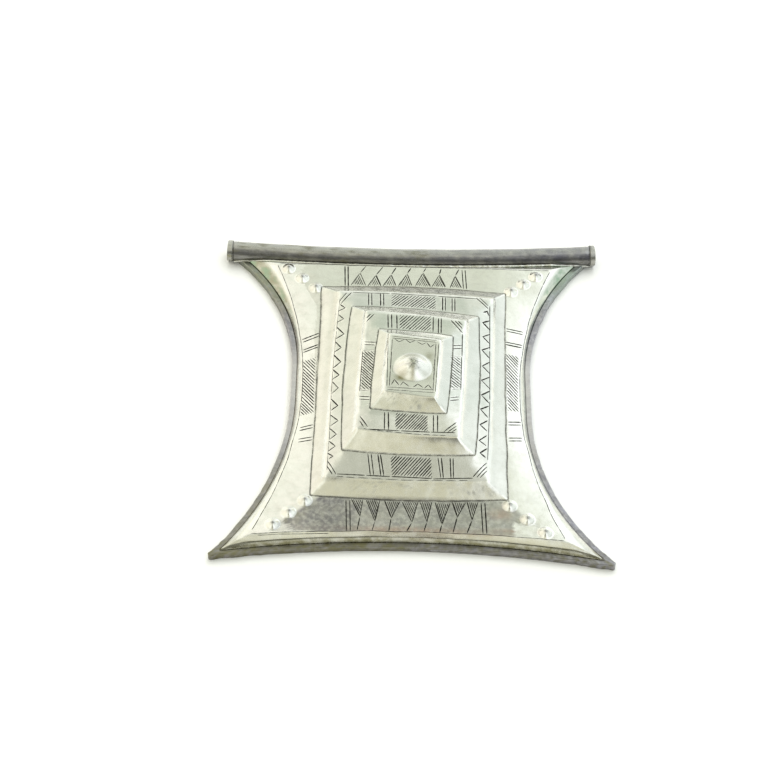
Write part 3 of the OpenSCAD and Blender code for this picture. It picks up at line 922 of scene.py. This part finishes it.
class AMULET_OT_front_plate(bpy.types.Operator):
    """Builds the hammered and engraved front plate"""
    bl_idname = "amulet.front_plate"
    bl_label = "Front plate"

    def execute(self, context):
        plan = Plan(context.scene.amulet_sizes, 72)
        looks = context.scene.amulet_colours
        inner, outer = front_rings(plan)
        outer = hammer(outer, plan)
        feet = hammer(ring_points(plan), plan)
        piece = skin("front_plate_engraved", inner + outer, False)
        raise_dots(piece, plan)
        metal = silver("Worn silver sheet, hammered", (looks.bright, looks.dull, looks.dark), 0.13, [
            ("film", looks.film, 4.0), ("smoke", looks.smoky_film_and_shade, 1.0), ("olive", looks.olive, 2.0),
            ("copper", looks.copper, 1.5), ("green", looks.green, 1.2), ("rubbed", looks.rubbed, 3.0)])
        groove = groove_silver(looks.dark)
        for material in (metal, groove):
            piece.data.materials.append(material)
        surface = BVHTree.FromObject(piece, context.evaluated_depsgraph_get())
        sets = []
        for stroke in engraving(plan):
            for group in sets:
                if not any(crosses(stroke[0], s[0], 0.4) for s in group):
                    group.append(stroke)
                    break
            else:
                sets.append([stroke])
        for k, group in enumerate(sets):
            cutter = graver(f"graver_{k}", group, surface)
            cutter.data.materials.clear()
            for material in (metal, groove):
                cutter.data.materials.append(material)
            cutter.data.polygons.foreach_set("material_index", [1] * len(cutter.data.polygons))
            cut(piece, cutter)
        drop_flaps(piece)
        points = points_of(piece)
        x, y, z = points.T
        level = self.facing(piece, 2)
        dotted = 0.8 + 0.8 * drift(points, 0.8, 51) + 0.3 * drift(points, 5.0, 55)
        soot = smooth(0.0, 0.8, nearness(points, np.vstack(feet), 0.33)) * np.clip(dotted, 0.2, 1)
        wall = smooth(3.8, 3.0, z)
        streak = drift(points * (0.12, 1, 1), 0.8, 52)
        bottom = smooth(3.50, 3.40, z) * smooth(-41.5, -43.0, y + 0.0016 * x ** 2)
        bottom *= 1 - 0.9 * smooth(34, 43, np.abs(x))
        soot = np.maximum(soot, 0.35 * smooth(2.0, 1.88, z) * (1 - 0.6 * bottom))
        # painted shade together with tarnish: the bottom wall and its foot are darkened in bands
        band = 0.5 * drift(np.c_[x * 0.05, z, z], 0.45, 57)
        soot = np.maximum(soot, bottom * (0.18 + 0.25 * band + 0.2 * smooth(2.5, 1.95, z)))
        foot_wall = smooth(-41.5, -43.0, y + 0.0016 * x ** 2) * smooth(2.9, 2.4, z) * (level < 0.9)
        soot = np.maximum(soot, 0.38 * foot_wall * smooth(43, 36, np.abs(x)))
        # dirt left below the rims of the first and last step, and on the boss a dark patch that is partly tarnish and
        # partly painted reflection
        soot = np.maximum(soot, 0.8 * spot(points, -18.2, -29.8, 2.6, 0.45) * (0.6 + 0.5 * drift(points, 0.5, 53)))
        # painted reflection: a dark spot on the crown of each small boss stands in for the dark reflection seen there
        for cx, cy in dots():
            soot = np.maximum(soot, 0.9 * spot(points, cx + 0.1, cy - 0.15, 0.5, 0.5) * (z < 8))
        speckle = smooth(0.2, 0.5, drift(points, 0.6, 54))
        soot = np.maximum(soot, 0.6 * speckle * (
            spot(points, -3.5, -9.3, 3.5, 1.3) + spot(points, 2, -11.6, 6, 0.8)
            + 0.7 * spot(points, -6, -31, 10, 1.6) + 0.9 * spot(points, 15, -32, 6, 1.6)))
        # the boss's dark patch: partly tarnish, partly a painted dark reflection
        blotch = smooth(-0.05, 0.35, drift(points, 0.38, 56))
        soot = np.maximum(soot, 0.8 * blotch * spot(points, 0.15, -1.0, 1.5, 2.0) * (z > 13))
        soot = np.maximum(soot, 0.55 * spot(points, 1.3, -2.2, 0.5, 0.6) * (z > 13))
        # painted light: on the upper sheet, tarnish is mostly left off faces that turn away from the viewer, so they
        # stay light
        away = self.facing(piece, 1)
        soot *= 1 - 0.8 * smooth(0.15, 0.4, away) * (z > 4.5)
        in_panel = smooth(-33.3, -34.2, y) * (z < 4.8) * (z > 4.0) * smooth(-26, -21, x) * smooth(-43.4, -42.8, y)
        soot = np.maximum(soot, 0.16 * in_panel * smooth(-8, -18, x) * (0.8 + 0.5 * drift(points, 0.7, 63)))
        # what stands proud is made bright, partly by wear and partly as painted highlight: bosses, the rims of the
        # steps, the fold of the wall
        wear_and_highlight = np.zeros(len(points))
        for cx, cy in dots():
            wear_and_highlight = np.maximum(wear_and_highlight, smooth(2.0, 1.2, np.hypot(x - cx, y - cy)) * (z < 8))
        rims = [hammer([at_height(plan.tier(TIERS[k], 0.5), plan.flat_z + TIERS[k][0])], plan)[0] for k in (1, 3, 5)]
        rims = np.vstack([rim[len(plan.shares):] for rim in rims])
        wear_and_highlight = np.maximum(wear_and_highlight, smooth(0.0, 0.5, nearness(points, rims, 0.8)))
        # painted highlight: slopes that face left or right are brightened, where they mirror the side lights
        slopes = smooth(0.97, 0.9, level) * (z > 4.6) * smooth(0.0, 0.4, np.abs(self.facing(piece, 0)))
        wear_and_highlight = np.maximum(wear_and_highlight, 0.45 * slopes)
        wear_and_highlight = np.maximum(wear_and_highlight, smooth(3.4, 3.8, z) * (z < 4.2) * (1 - 0.3 * smooth(-41.5, -43.0, y + 0.0016 * x ** 2)))
        # the lower panel between the two rows of bosses, left out of the painted highlight on the flat's sides
        way = (-33.3 - y) / 10.0
        panel = smooth(0.0, 0.06, way) * smooth(0.0, -2.2, np.abs(x - 0.3) - 22.5 - 12.5 * way)
        panel *= smooth(1.08, 1.0, way) * smooth(5.0, 4.6, z)
        # painted highlight: the flat's left and right sides are brightened where they mirror the side lights
        sides = smooth(22, 25, np.abs(x)) * np.where(x > 0, smooth(40, 30, y), smooth(14, -8, y))
        wear_and_highlight = np.maximum(wear_and_highlight, 0.95 * (z < 4.6) * smooth(3.7, 4.0, z) * sides * (1 - panel))
        # painted highlights: a bright patch on the lower part of the upper ledges, and on the steps the slopes facing
        # the viewer and the slopes facing away are brightened
        wear_and_highlight = np.maximum(wear_and_highlight, 1.2 * spot(points, 0, -15.9, 11, 2.4) * (z > 8) * smooth(0.9, 0.97, level))
        wear_and_highlight = np.maximum(wear_and_highlight, 0.6 * (z > 8) * smooth(0.97, 0.9, level) * smooth(-0.3, -0.5, self.facing(piece, 1)))
        wear_and_highlight = np.maximum(wear_and_highlight, 0.8 * (z > 4.6) * (z < 12) * smooth(0.97, 0.9, level) * smooth(0.25, 0.45, away))
        # brightened as well: the right part of the steps above the lower ledges, and a strip of the flat by its upper
        # right corner
        wear_and_highlight = np.maximum(wear_and_highlight, 0.3 * smooth(13, 15, x) * smooth(-20, -12, y) * (z > 4.6))
        wear_and_highlight = np.maximum(wear_and_highlight, 0.45 * smooth(20, 24, x) * smooth(26, 30, y) * smooth(4.8, 4.6, z) * smooth(3.7, 4.0, z))
        # painted highlights: bright lobes left and right of the round boss
        lobes = np.abs(x - BOSS_AT[0])
        wear_and_highlight = np.maximum(wear_and_highlight, smooth(4.6, 3.4, lobes) * smooth(0.5, 1.3, lobes) * smooth(2.4, 0.9, np.abs(y + 1.0)))
        store(piece, "soot", np.clip(soot, 0, 1))
        store(piece, "rubbed", np.clip(wear_and_highlight, 0, 1))
        dark = panel * (0.76 + 0.4 * smooth(-12, -20, x) - 0.16 * smooth(10, 24, x))
        dark = dark + 0.3 * spot(points, 16, -31.5, 5, 1.6) * (z > 4.5) + 0.4 * spot(points, -13.2, 3, 2.4, 14) * (z > 8) * (z < 11) * smooth(0.9, 0.97, level)
        store(piece, "smoke", np.clip(dark, 0, 1) * (0.8 + 0.35 * drift(points, 3.0, 58)))
        store(piece, "olive", np.clip(
            0.25 * panel + 0.8 * bottom + 0.7 * foot_wall + 1.1 * spot(points, -2.8, -4.0, 1.6, 1.2) * (z > 13)
            + 0.6 * spot(points, 4.2, 2.9, 1.1, 1.3) * (z > 13) + 0.5 * spot(points, 3.4, -3.6, 1.0, 0.9) * (z > 13)
            + 0.55 * spot(points, 0.1, -1.0, 1.7, 2.4) * (z > 13)
            + 0.6 * (spot(points, -29.5, -38.6, 4.2, 2.4) + spot(points, 29, -39.5, 4.0, 2.0)) * smooth(0.0, 0.4, drift(points, 1.3, 59))
            + 0.08 * smooth(4.6, 6.0, z) * smooth(0.99, 0.9, level) * smooth(6, 24, y)
            + 0.7 * wall * (x < 0) * smooth(8, 26, y), 0, 1))
        store(piece, "copper", 0.45 * smooth(4.8, 4.3, z) * np.clip(
            spot(points, 0, -42.6, 15, 0.8) + 0.8 * spot(points, 10, -43.7, 18, 0.5) + spot(points, 21, -37.5, 2.5, 1.4) + spot(points, 25, -42.2, 5, 0.6), 0, 1))
        worn = smooth(4.9, 5.6, z) * smooth(0.7, 0.95, level)
        store(piece, "film", 0.8 * worn * smooth(-18, -10, y - x * 0.3) * (1 - 0.6 * (z > 13)))
        corner = spot(points, -38, 42, 6, 5) + 1.3 * spot(points, 39.5, 43, 5, 6)
        edge = wall * smooth(20, 26, np.abs(x)) * smooth(-40, -30, y)
        creep = smooth(-0.2, 0.3, drift(points, 1.7, 60))
        creep = np.where(x < 0, creep * (0.3 + 0.6 * smooth(18, 30, y)), 0.4 + 0.6 * creep)
        store(piece, "green", np.clip(
            edge * creep * (0.35 + 0.5 * smooth(15, 35, y)) + 0.6 * corner * smooth(4.0, 3.2, z) * creep, 0, 1))
        finish_piece(piece, [metal, groove], 32)
        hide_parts("front_plate")
        return {"FINISHED"}

    @staticmethod
    def facing(piece, axis):
        """How far the sheet faces along an axis at each point, from -1 to 1."""
        flat = np.zeros(len(piece.data.vertices) * 3, np.float32)
        piece.data.vertices.foreach_get("normal", flat)
        return flat.reshape(-1, 3)[:, axis].astype(float)


class AMULET_OT_back_plate(bpy.types.Operator):
    """Builds the flat back with the rim soldered round it"""
    bl_idname = "amulet.back_plate"
    bl_label = "Back plate and rim"

    def execute(self, context):
        plan = Plan(context.scene.amulet_sizes, 110)
        looks = context.scene.amulet_colours
        count = len(plan.shares)
        top_side = np.zeros(4 * count, bool)
        top_side[2 * count + 1:3 * count] = True
        clear = plan.tube_r + plan.seam / 2

        def ring(d, e, z, ragged=0.0):
            f = max(0.7 * plan.tube_r, math.sqrt(clear ** 2 - min(clear, plan.tube_z - z) ** 2))
            made = plan.soften(plan.outline(d, e, f, True), 0.8)
            done = at_height(made, z)
            if z > plan.back_sheet:
                sheet = plan.soften(plan.outline(d, e, 0.7 * plan.tube_r, True), 0.8)
                done[top_side] = at_height(sheet, plan.back_sheet)[top_side]
            flat_points = at_height(made, 0.0)
            tips = 0.35 + 0.65 * smooth(30, 40, np.abs(made[:, 0]))
            for axis in (0, 1):
                done[:, axis] += ragged * tips * (
                    0.15 * drift(flat_points, 1.1, 11 + axis) + 0.14 * drift(flat_points, 4.0, 21 + axis))
                for x, y, push in burrs:
                    done[:, axis] += ragged * push[axis] * np.exp(
                        -((made[:, 0] - x) ** 2 + (made[:, 1] - y) ** 2) / 0.3)
            done[:, 2] += ragged * 0.12 * drift(flat_points, 1.6, 31) * (z > 1)
            return done

        # burrs left by the shears: x, y and how far each one stands out
        burrs = [(-32.4, 22.7, (-0.35, 0.0)), (35.1, 29.6, (0.3, 0.0)), (34.4, 27.9, (0.35, -0.1)),
                 (-31.2, 8.0, (-0.2, 0.0)), (43.6, -42.8, (0.2, 0.25)), (-44.6, -44.2, (-0.3, 0.1))]
        middle = at_height(plan.soften(plan.outline(14.0, 14.0, 14.0), 1.0), 0.0)
        rings = [mix(middle, middle.mean(0), 0.98), mix(middle, middle.mean(0), 0.5), middle]
        rings += [ring(0.8, 0.8, 0.0), ring(0.15, 0.15, 0.0, 1.0), ring(0.0, 0.0, 0.12, 1.0), ring(0.0, 0.0, 0.78, 1.0)]
        rings += [ring(0.02, 0.02, 1.3, 1.0), ring(0.0, 0.0, 1.78, 1.0), ring(0.16, 0.14, 1.9, 1.0)]
        rings += [ring(plan.rim_side - 0.12, plan.rim_bottom - 0.08, 1.9, 0.3)]
        # solder fills the seam beside the front plate
        solder = 0.85 * plan.seam
        filled = ring(plan.rim_side + solder, plan.rim_bottom + solder, 1.8)
        filled[count + 1:, 2] = np.minimum(filled[count + 1:, 2], 1.72)
        rings += [ring(plan.rim_side - 0.01, plan.rim_bottom - 0.01, 1.78), filled]
        rings += [ring(plan.rim_side + solder, plan.rim_bottom + solder, 1.2)]
        rings += [ring(plan.rim_side, plan.rim_bottom, 1.1), ring(plan.rim_side, plan.rim_bottom, 0.8)]
        upper = middle + (0, 0, plan.back_sheet)
        rings += [upper, mix(upper, upper.mean(0), 0.98)]
        # under the tube the rim's rings lie side by side on the sheet
        for k, made in enumerate(rings[:-1]):
            made[top_side, 1] -= 0.04 * k * (made[top_side, 2] == plan.back_sheet)
        piece = skin("back_plate_rim", rings, False)
        points = points_of(piece)
        x, y, z = points.T
        low = smooth(1.9, 0.2, z) * smooth(-0.01, 0.1, z)
        bottom = smooth(-41.0, -44.0, y + 0.0018 * x ** 2)
        seam = smooth(1.87, 1.78, z) * (np.abs(np.abs(x) - self.rim_place(plan, x, y)) < 0.2) * (1 - 0.7 * bottom)
        rough = 0.5 + 0.5 * drift(points, 0.9, 61)
        streak = 0.5 + 0.5 * drift(points * (0.12, 1, 1), 0.8, 62)
        # the seam is a dark joint; along the bottom the rim is darkened in streaks, painted shade together with tarnish
        store(piece, "soot", np.clip(
            0.4 * low * rough + 0.3 * seam + bottom * (z > 0.1) * (0.06 + 0.32 * streak), 0, 1))
        store(piece, "olive", np.clip(
            0.75 * bottom * (z > 0.1) * smooth(0.3, 0.7, rough) + 0.7 * (x < 0) * smooth(20, 34, y) + 0.55 * (x < 0) * smooth(-14, -30, y), 0, 1) * (z > 0.1))
        # painted shade: the rim is greyed with smoke towards its upper and lower ends and along the bottom, so that
        # only its waist keeps the bright reflection of the paper
        store(piece, "smoke", np.clip(
            smooth(6, 22, y) + smooth(-6, -26, y) + bottom, 0, 1) * (0.38 + 0.6 * rough) * (z > 0.1))
        store(piece, "green", np.clip(
            smooth(26, 38, y) * 0.25 + 0.5 * spot(points, 38, 42, 5, 6), 0, 1) * (z > 0.1))
        metal = silver("Worn silver sheet, cut and soldered", (looks.edge, looks.edge_dull, looks.dark), 0.25, [
            ("smoke", looks.smoky_film_and_shade, 0.9), ("olive", looks.olive, 2.0), ("green", looks.green, 1.2)])
        finish_piece(piece, [metal], 30)
        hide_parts("back_plate")
        return {"FINISHED"}

    @staticmethod
    def rim_place(plan, x, y):
        """Distance of the rim's inner edge from the middle line at that height."""
        side = np.where(x < 0, -1, 1)
        return np.where(side < 0, abs(plan.side_x(-1, y, plan.rim_side)), plan.side_x(1, y, plan.rim_side))


class AMULET_OT_cord_tube(bpy.types.Operator):
    """Builds the bowed tube with a band soldered round each end"""
    bl_idname = "amulet.cord_tube"
    bl_label = "Cord tube"

    def execute(self, context):
        plan = Plan(context.scene.amulet_sizes, 8)
        looks = context.scene.amulet_colours
        around = np.radians(np.arange(56) * 360 / 56)

        def ring(along, radius, uneven=0.0):
            reach = math.asin(min(1.0, along / plan.bow_r)) if along >= 0 else -math.asin(-along / plan.bow_r)
            turn = plan.tube_turn + reach
            at = np.array([plan.bow_x + plan.bow_r * math.sin(turn), plan.bow_y - plan.bow_r * math.cos(turn)])
            out = np.array([-math.sin(turn), math.cos(turn)])
            made = np.c_[at + radius * np.cos(around)[:, None] * out, plan.tube_z + radius * np.sin(around)]
            if uneven:
                push = 1 + uneven * (0.018 * drift(made, 5.0, 41) + 0.008 * drift(made, 1.6, 42)) / 1.0
                centre = np.r_[at, plan.tube_z]
                made = centre + (made - centre) * push[:, None]
            return made

        end, band = plan.tube_half, plan.band_w
        outer = plan.tube_r + plan.band_h
        left = [(-end, outer - 0.12), (-end + 0.08, outer), (-end + 0.5 * band, outer)]
        left += [(-end + band - 0.1, outer), (-end + band, outer - 0.1), (-end + band + 0.05, plan.tube_r - 0.05)]
        left += [(-end + band + 0.25, plan.tube_r - 0.04)]
        middle = [(x, plan.tube_r) for x in np.linspace(-end + band + 0.6, end - band - 0.6, 92)]
        right = [(-x, r) for x, r in reversed(left)]
        rings = [ring(x, r, 1.0) for x, r in left + middle + right]
        inside = [(end, plan.band_bore_r + 0.1), (end - 0.1, plan.band_bore_r), (end - band, plan.band_bore_r)]
        inside += [(end - band - 0.01, plan.bore_r)]
        inside += [(x, plan.bore_r) for x in np.linspace(end - band - 3, -end + band + 3, 24)]
        inside += [(-x, r) for x, r in reversed(inside[:4])]
        rings += [ring(x, r) for x, r in inside]
        piece = skin("cord_tube_banded", rings, True)
        points = points_of(piece)
        x, y, z = points.T
        groove = np.abs(np.abs(x) - (plan.tube_half - plan.band_w - 0.1))
        axis = plan.bow_y - np.sqrt(plan.bow_r ** 2 - (x - plan.bow_x) ** 2)
        # degrees round the tube, from the top down its front
        turn = np.degrees(np.arctan2(axis - y, z - plan.tube_z))
        turn += 7 * drift(points * (0.12, 1, 1), 1.0, 43)
        # painted shade: the tube's lower half, from about 30 degrees down its front to nearly underneath, is darkened
        # with soot and smoke
        underside_shade = smooth(20, 38, turn + 6 * drift(points, 1.4, 45)) * smooth(176, 150, turn)
        # the bands are rubbed clean where the cord and the hand reach them
        banded = 1 - 0.65 * smooth(end - band - 0.05, end - band + 0.1, np.abs(x))
        streak = 0.5 + 0.5 * drift(points * (0.1, 1, 1), 0.4, 44)
        flecks = smooth(0.1, 0.6, drift(points * (0.3, 1, 1), 0.7, 46))
        store(piece, "soot", np.clip(0.9 * np.exp(-(groove / 0.15) ** 2) + banded * underside_shade * (0.26 + 0.5 * streak) + (1 - underside_shade) * 0.28 * flecks, 0, 1))
        store(piece, "smoke", np.clip(banded * (0.25 + 0.35 * smooth(-20, 40, x) + 0.35 * underside_shade), 0, 1))
        store(piece, "olive", np.clip(0.6 * flecks * smooth(10, 0, x) + 0.5 * streak * smooth(55, 75, turn), 0, 1))
        metal = silver("Worn silver tube, rolled and soldered", (looks.tube, looks.dull, looks.dark), 0.2, [
            ("smoke", looks.smoky_film_and_shade, 2.5), ("olive", looks.olive, 1.0)])
        finish_piece(piece, [metal], 32)
        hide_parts("cord_tube")
        return {"FINISHED"}


class AMULET_OT_solder(bpy.types.Operator):
    """Builds the beads of solder that hold the tube"""
    bl_idname = "amulet.solder"
    bl_label = "Solder"

    def execute(self, context):
        plan = Plan(context.scene.amulet_sizes, 8)
        looks = context.scene.amulet_colours
        around = np.radians(np.arange(12) * 30)
        # x, how far below the tube's axis, height above the back and radius, from left to right
        table = np.array([
            (-46.4, 2.30, 1.30, 0.12), (-45.6, 2.35, 1.45, 0.30), (-43.0, 2.42, 1.85, 0.33), (-40.6, 2.45, 2.15, 0.30),
            (-39.2, 2.75, 2.60, 0.30), (-37.0, 2.95, 3.05, 0.36), (-20.0, 3.00, 3.12, 0.34), (0.0, 2.95, 3.12, 0.30),
            (20.0, 3.00, 3.12, 0.33), (36.5, 2.95, 3.00, 0.34), (39.0, 2.70, 2.50, 0.30), (42.0, 2.45, 2.05, 0.34),
            (45.5, 2.35, 1.50, 0.34), (46.6, 2.30, 1.30, 0.12)])
        places = np.linspace(table[0, 0], table[-1, 0], 260)
        below, height, radius = (np.interp(places, table[:, 0], table[:, k]) for k in (1, 2, 3))
        y = plan.top_at(places, below)
        line = np.c_[places, y, height]
        thick = radius * (1 + 0.30 * drift(line, 1.2, 71) + 0.22 * drift(line, 0.5, 72))
        ends = np.abs(places) > 40
        y -= 0.18 * drift(line, 0.7, 73) * ends
        rings = [np.c_[np.full(12, a), b + r * np.cos(around), c + 0.85 * r * np.sin(around)]
                 for a, b, c, r in zip(places, y, height, thick)]
        piece = skin("tube_solder", rings, False)
        points = points_of(piece)
        store(piece, "soot", np.clip(0.30 * smooth(36, 41, np.abs(points[:, 0])) + 0.4 * drift(points, 0.6, 74), 0, 1))
        metal = silver("Silver solder, run along a joint", (looks.bright, looks.dull, looks.dark), 0.2, [])
        finish_piece(piece, [metal], 50)
        return {"FINISHED"}


class AMULET_OT_stage(bpy.types.Operator):
    """Sets the white paper, the soft light and the camera"""
    bl_idname = "amulet.stage"
    bl_label = "Floor, light and camera"

    def execute(self, context):
        looks = context.scene.amulet_colours
        start_afresh()
        bpy.ops.mesh.primitive_plane_add(size=6.0, location=(0, 0, -0.00002))
        floor = context.object
        floor.name = "paper"
        material, tree, where = blank("White paper, matt")
        fibre = ripple(tree, where, 1.0, 2.0, 0.3, 0.7)
        tint = over(tree, looks.floor, linear("#f2f2f1"), times(tree, fibre, 0.3))
        shader = add(tree, "ShaderNodeBsdfPrincipled", None, {
            "Base Color": tint, "Roughness": 0.95, "Specular IOR Level": 0.1})
        add(tree, "ShaderNodeOutputMaterial", None, {"Surface": shader.outputs["BSDF"]})
        floor.data.materials.append(material)
        self.tent(context)
        self.lamps(context)
        self.camera(context)
        return {"FINISHED"}

    def tent(self, context):
        """Light tent: white all round, open and dim behind the viewer's back."""
        world = bpy.data.worlds.new("Light tent")
        context.scene.world = world
        world.use_nodes = True
        tree = world.node_tree
        tree.nodes.clear()
        way = add(tree, "ShaderNodeTexCoord").outputs["Generated"]
        parts = add(tree, "ShaderNodeSeparateXYZ", None, {"Vector": way})
        along = add(tree, "ShaderNodeMapRange", None, {
            "Value": parts.outputs["Y"], "From Min": -1.0, "From Max": 1.0}).outputs["Result"]
        ramp = add(tree, "ShaderNodeValToRGB", None, {"Fac": along})
        stops = ramp.color_ramp.elements
        stops[0].position, stops[0].color = 0.13, (0.15, 0.15, 0.13, 1)
        stops[1].position, stops[1].color = 1.0, (0.95, 0.97, 0.93, 1)
        for place, hue in ((0.03, (0.27, 0.27, 0.215, 1)), (0.21, (0.63, 0.615, 0.46, 1)), (0.38, (0.73, 0.725, 0.57, 1)),
                           (0.58, (0.55, 0.56, 0.48, 1)), (0.72, (0.62, 0.65, 0.57, 1)),
                           (0.80, (0.76, 0.81, 0.68, 1)), (0.88, (0.84, 0.90, 0.80, 1))):
            stops.new(place).color = hue
        tint = ramp.outputs["Color"]
        ahead = add(tree, "ShaderNodeMapRange", {"interpolation_type": "SMOOTHSTEP"}, {
            "Value": parts.outputs["Y"], "From Min": -0.86, "From Max": -0.6}).outputs["Result"]
        for low, high, hue in (
                (0.06, 0.27, (1.26, 1.32, 1.33, 1)), (0.42, 0.72, (0.96, 1.03, 1.01, 1)),
                (-0.06, -0.28, (1.16, 1.17, 1.04, 1)), (-0.42, -0.72, (1.07, 1.04, 0.88, 1))):
            side = add(tree, "ShaderNodeMapRange", {"interpolation_type": "SMOOTHSTEP"}, {
                "Value": parts.outputs["X"], "From Min": low, "From Max": high}).outputs["Result"]
            tint = over(tree, tint, hue, times(tree, side, ahead))
        # a white card that only the lower left of the plate mirrors
        left = add(tree, "ShaderNodeMapRange", {"interpolation_type": "SMOOTHSTEP"}, {
            "Value": parts.outputs["X"], "From Min": 0.005, "From Max": -0.025}).outputs["Result"]
        low = add(tree, "ShaderNodeMapRange", {"interpolation_type": "SMOOTHSTEP"}, {
            "Value": parts.outputs["Y"], "From Min": 0.665, "From Max": 0.62}).outputs["Result"]
        end = add(tree, "ShaderNodeMapRange", {"interpolation_type": "SMOOTHSTEP"}, {
            "Value": parts.outputs["Y"], "From Min": 0.45, "From Max": 0.55}).outputs["Result"]
        tint = over(tree, tint, (1.07, 1.04, 0.95, 1), times(tree, times(tree, left, low), end))
        light = add(tree, "ShaderNodeBackground", None, {"Color": tint, "Strength": 1.0})
        add(tree, "ShaderNodeOutputWorld", None, {"Surface": light.outputs["Background"]})
        context.scene.view_settings.view_transform = "Standard"

    def lamps(self, context):
        """One broad soft light overhead for the paper, which the metal doesn't mirror."""
        lamp = bpy.data.lights.new("Overhead softbox", "AREA")
        lamp.shape = "DISK"
        lamp.size = 1.2
        lamp.energy = 6.5
        hung = bpy.data.objects.new("Overhead softbox", lamp)
        hung.location = (0.1, 0.7, 1.0)
        hung.rotation_euler = (Vector((0, 0, 0)) - hung.location).to_track_quat("-Z", "Y").to_euler()
        hung.visible_glossy = False
        context.scene.collection.objects.link(hung)

    def camera(self, context):
        """The photograph's view: 50 degrees above the paper, turned and rolled a little."""
        tilt, yaw, roll = math.radians(40), math.radians(2.4), math.radians(3.34)
        away, focal, half = 539.5, 2193.0, 384.0
        shown_x, shown_y = 411.2, 389.9
        right = Vector((math.cos(yaw), -math.sin(yaw), 0))
        ahead = Vector((math.sin(yaw), math.cos(yaw), 0))
        up = ahead * math.cos(tilt) + Vector((0, 0, 1)) * math.sin(tilt)
        look = ahead * math.sin(tilt) - Vector((0, 0, 1)) * math.cos(tilt)
        turned_right = right * math.cos(roll) + up * math.sin(roll)
        turned_up = up * math.cos(roll) - right * math.sin(roll)
        # aimed so that the middle of the flat lands on the picture's point
        aim = look * focal - turned_right * (shown_x - half) + turned_up * (shown_y - half)
        back = -aim.normalized()
        side = (turned_right - back * turned_right.dot(back)).normalized()
        upward = back.cross(side)
        from mathutils import Matrix
        turn = Matrix((side, upward, back)).transposed()
        lens = bpy.data.cameras.new("Camera")
        lens.sensor_width = 36.0
        lens.lens = 36.0 * focal / (2 * half)
        lens.clip_start, lens.clip_end = 0.01, 20.0
        eye = bpy.data.objects.new("Camera", lens)
        centre = Vector((0, 0, context.scene.amulet_sizes.flat_z))
        eye.matrix_world = Matrix.Translation(centre - look * away * MM) @ turn.to_4x4()
        context.scene.collection.objects.link(eye)
        context.scene.camera = eye


class AMULET_PT_panel(bpy.types.Panel):
    """Lists the pendant's operators"""
    bl_idname = "AMULET_PT_panel"
    bl_label = "Amulet pendant"
    bl_space_type = "VIEW_3D"
    bl_region_type = "UI"
    bl_category = "Amulet"

    def draw(self, context):
        for operator in OPERATORS:
            self.layout.operator(operator.bl_idname)


OPERATORS = (
    AMULET_OT_stage, AMULET_OT_front_plate, AMULET_OT_back_plate, AMULET_OT_cord_tube, AMULET_OT_solder)
CLASSES = (AmuletSizes, AmuletColours, *OPERATORS, AMULET_PT_panel)


def register():
    for item in CLASSES:
        bpy.utils.register_class(item)
    bpy.types.Scene.amulet_sizes = bpy.props.PointerProperty(type=AmuletSizes)
    bpy.types.Scene.amulet_colours = bpy.props.PointerProperty(type=AmuletColours)


def unregister():
    del bpy.types.Scene.amulet_sizes
    del bpy.types.Scene.amulet_colours
    for item in reversed(CLASSES):
        bpy.utils.unregister_class(item)


def main():
    register()
    bpy.ops.amulet.stage()
    bpy.ops.amulet.front_plate()
    bpy.ops.amulet.back_plate()
    bpy.ops.amulet.cord_tube()
    bpy.ops.amulet.solder()
    bpy.context.view_layer.update()


if __name__ == "__main__":
    main()
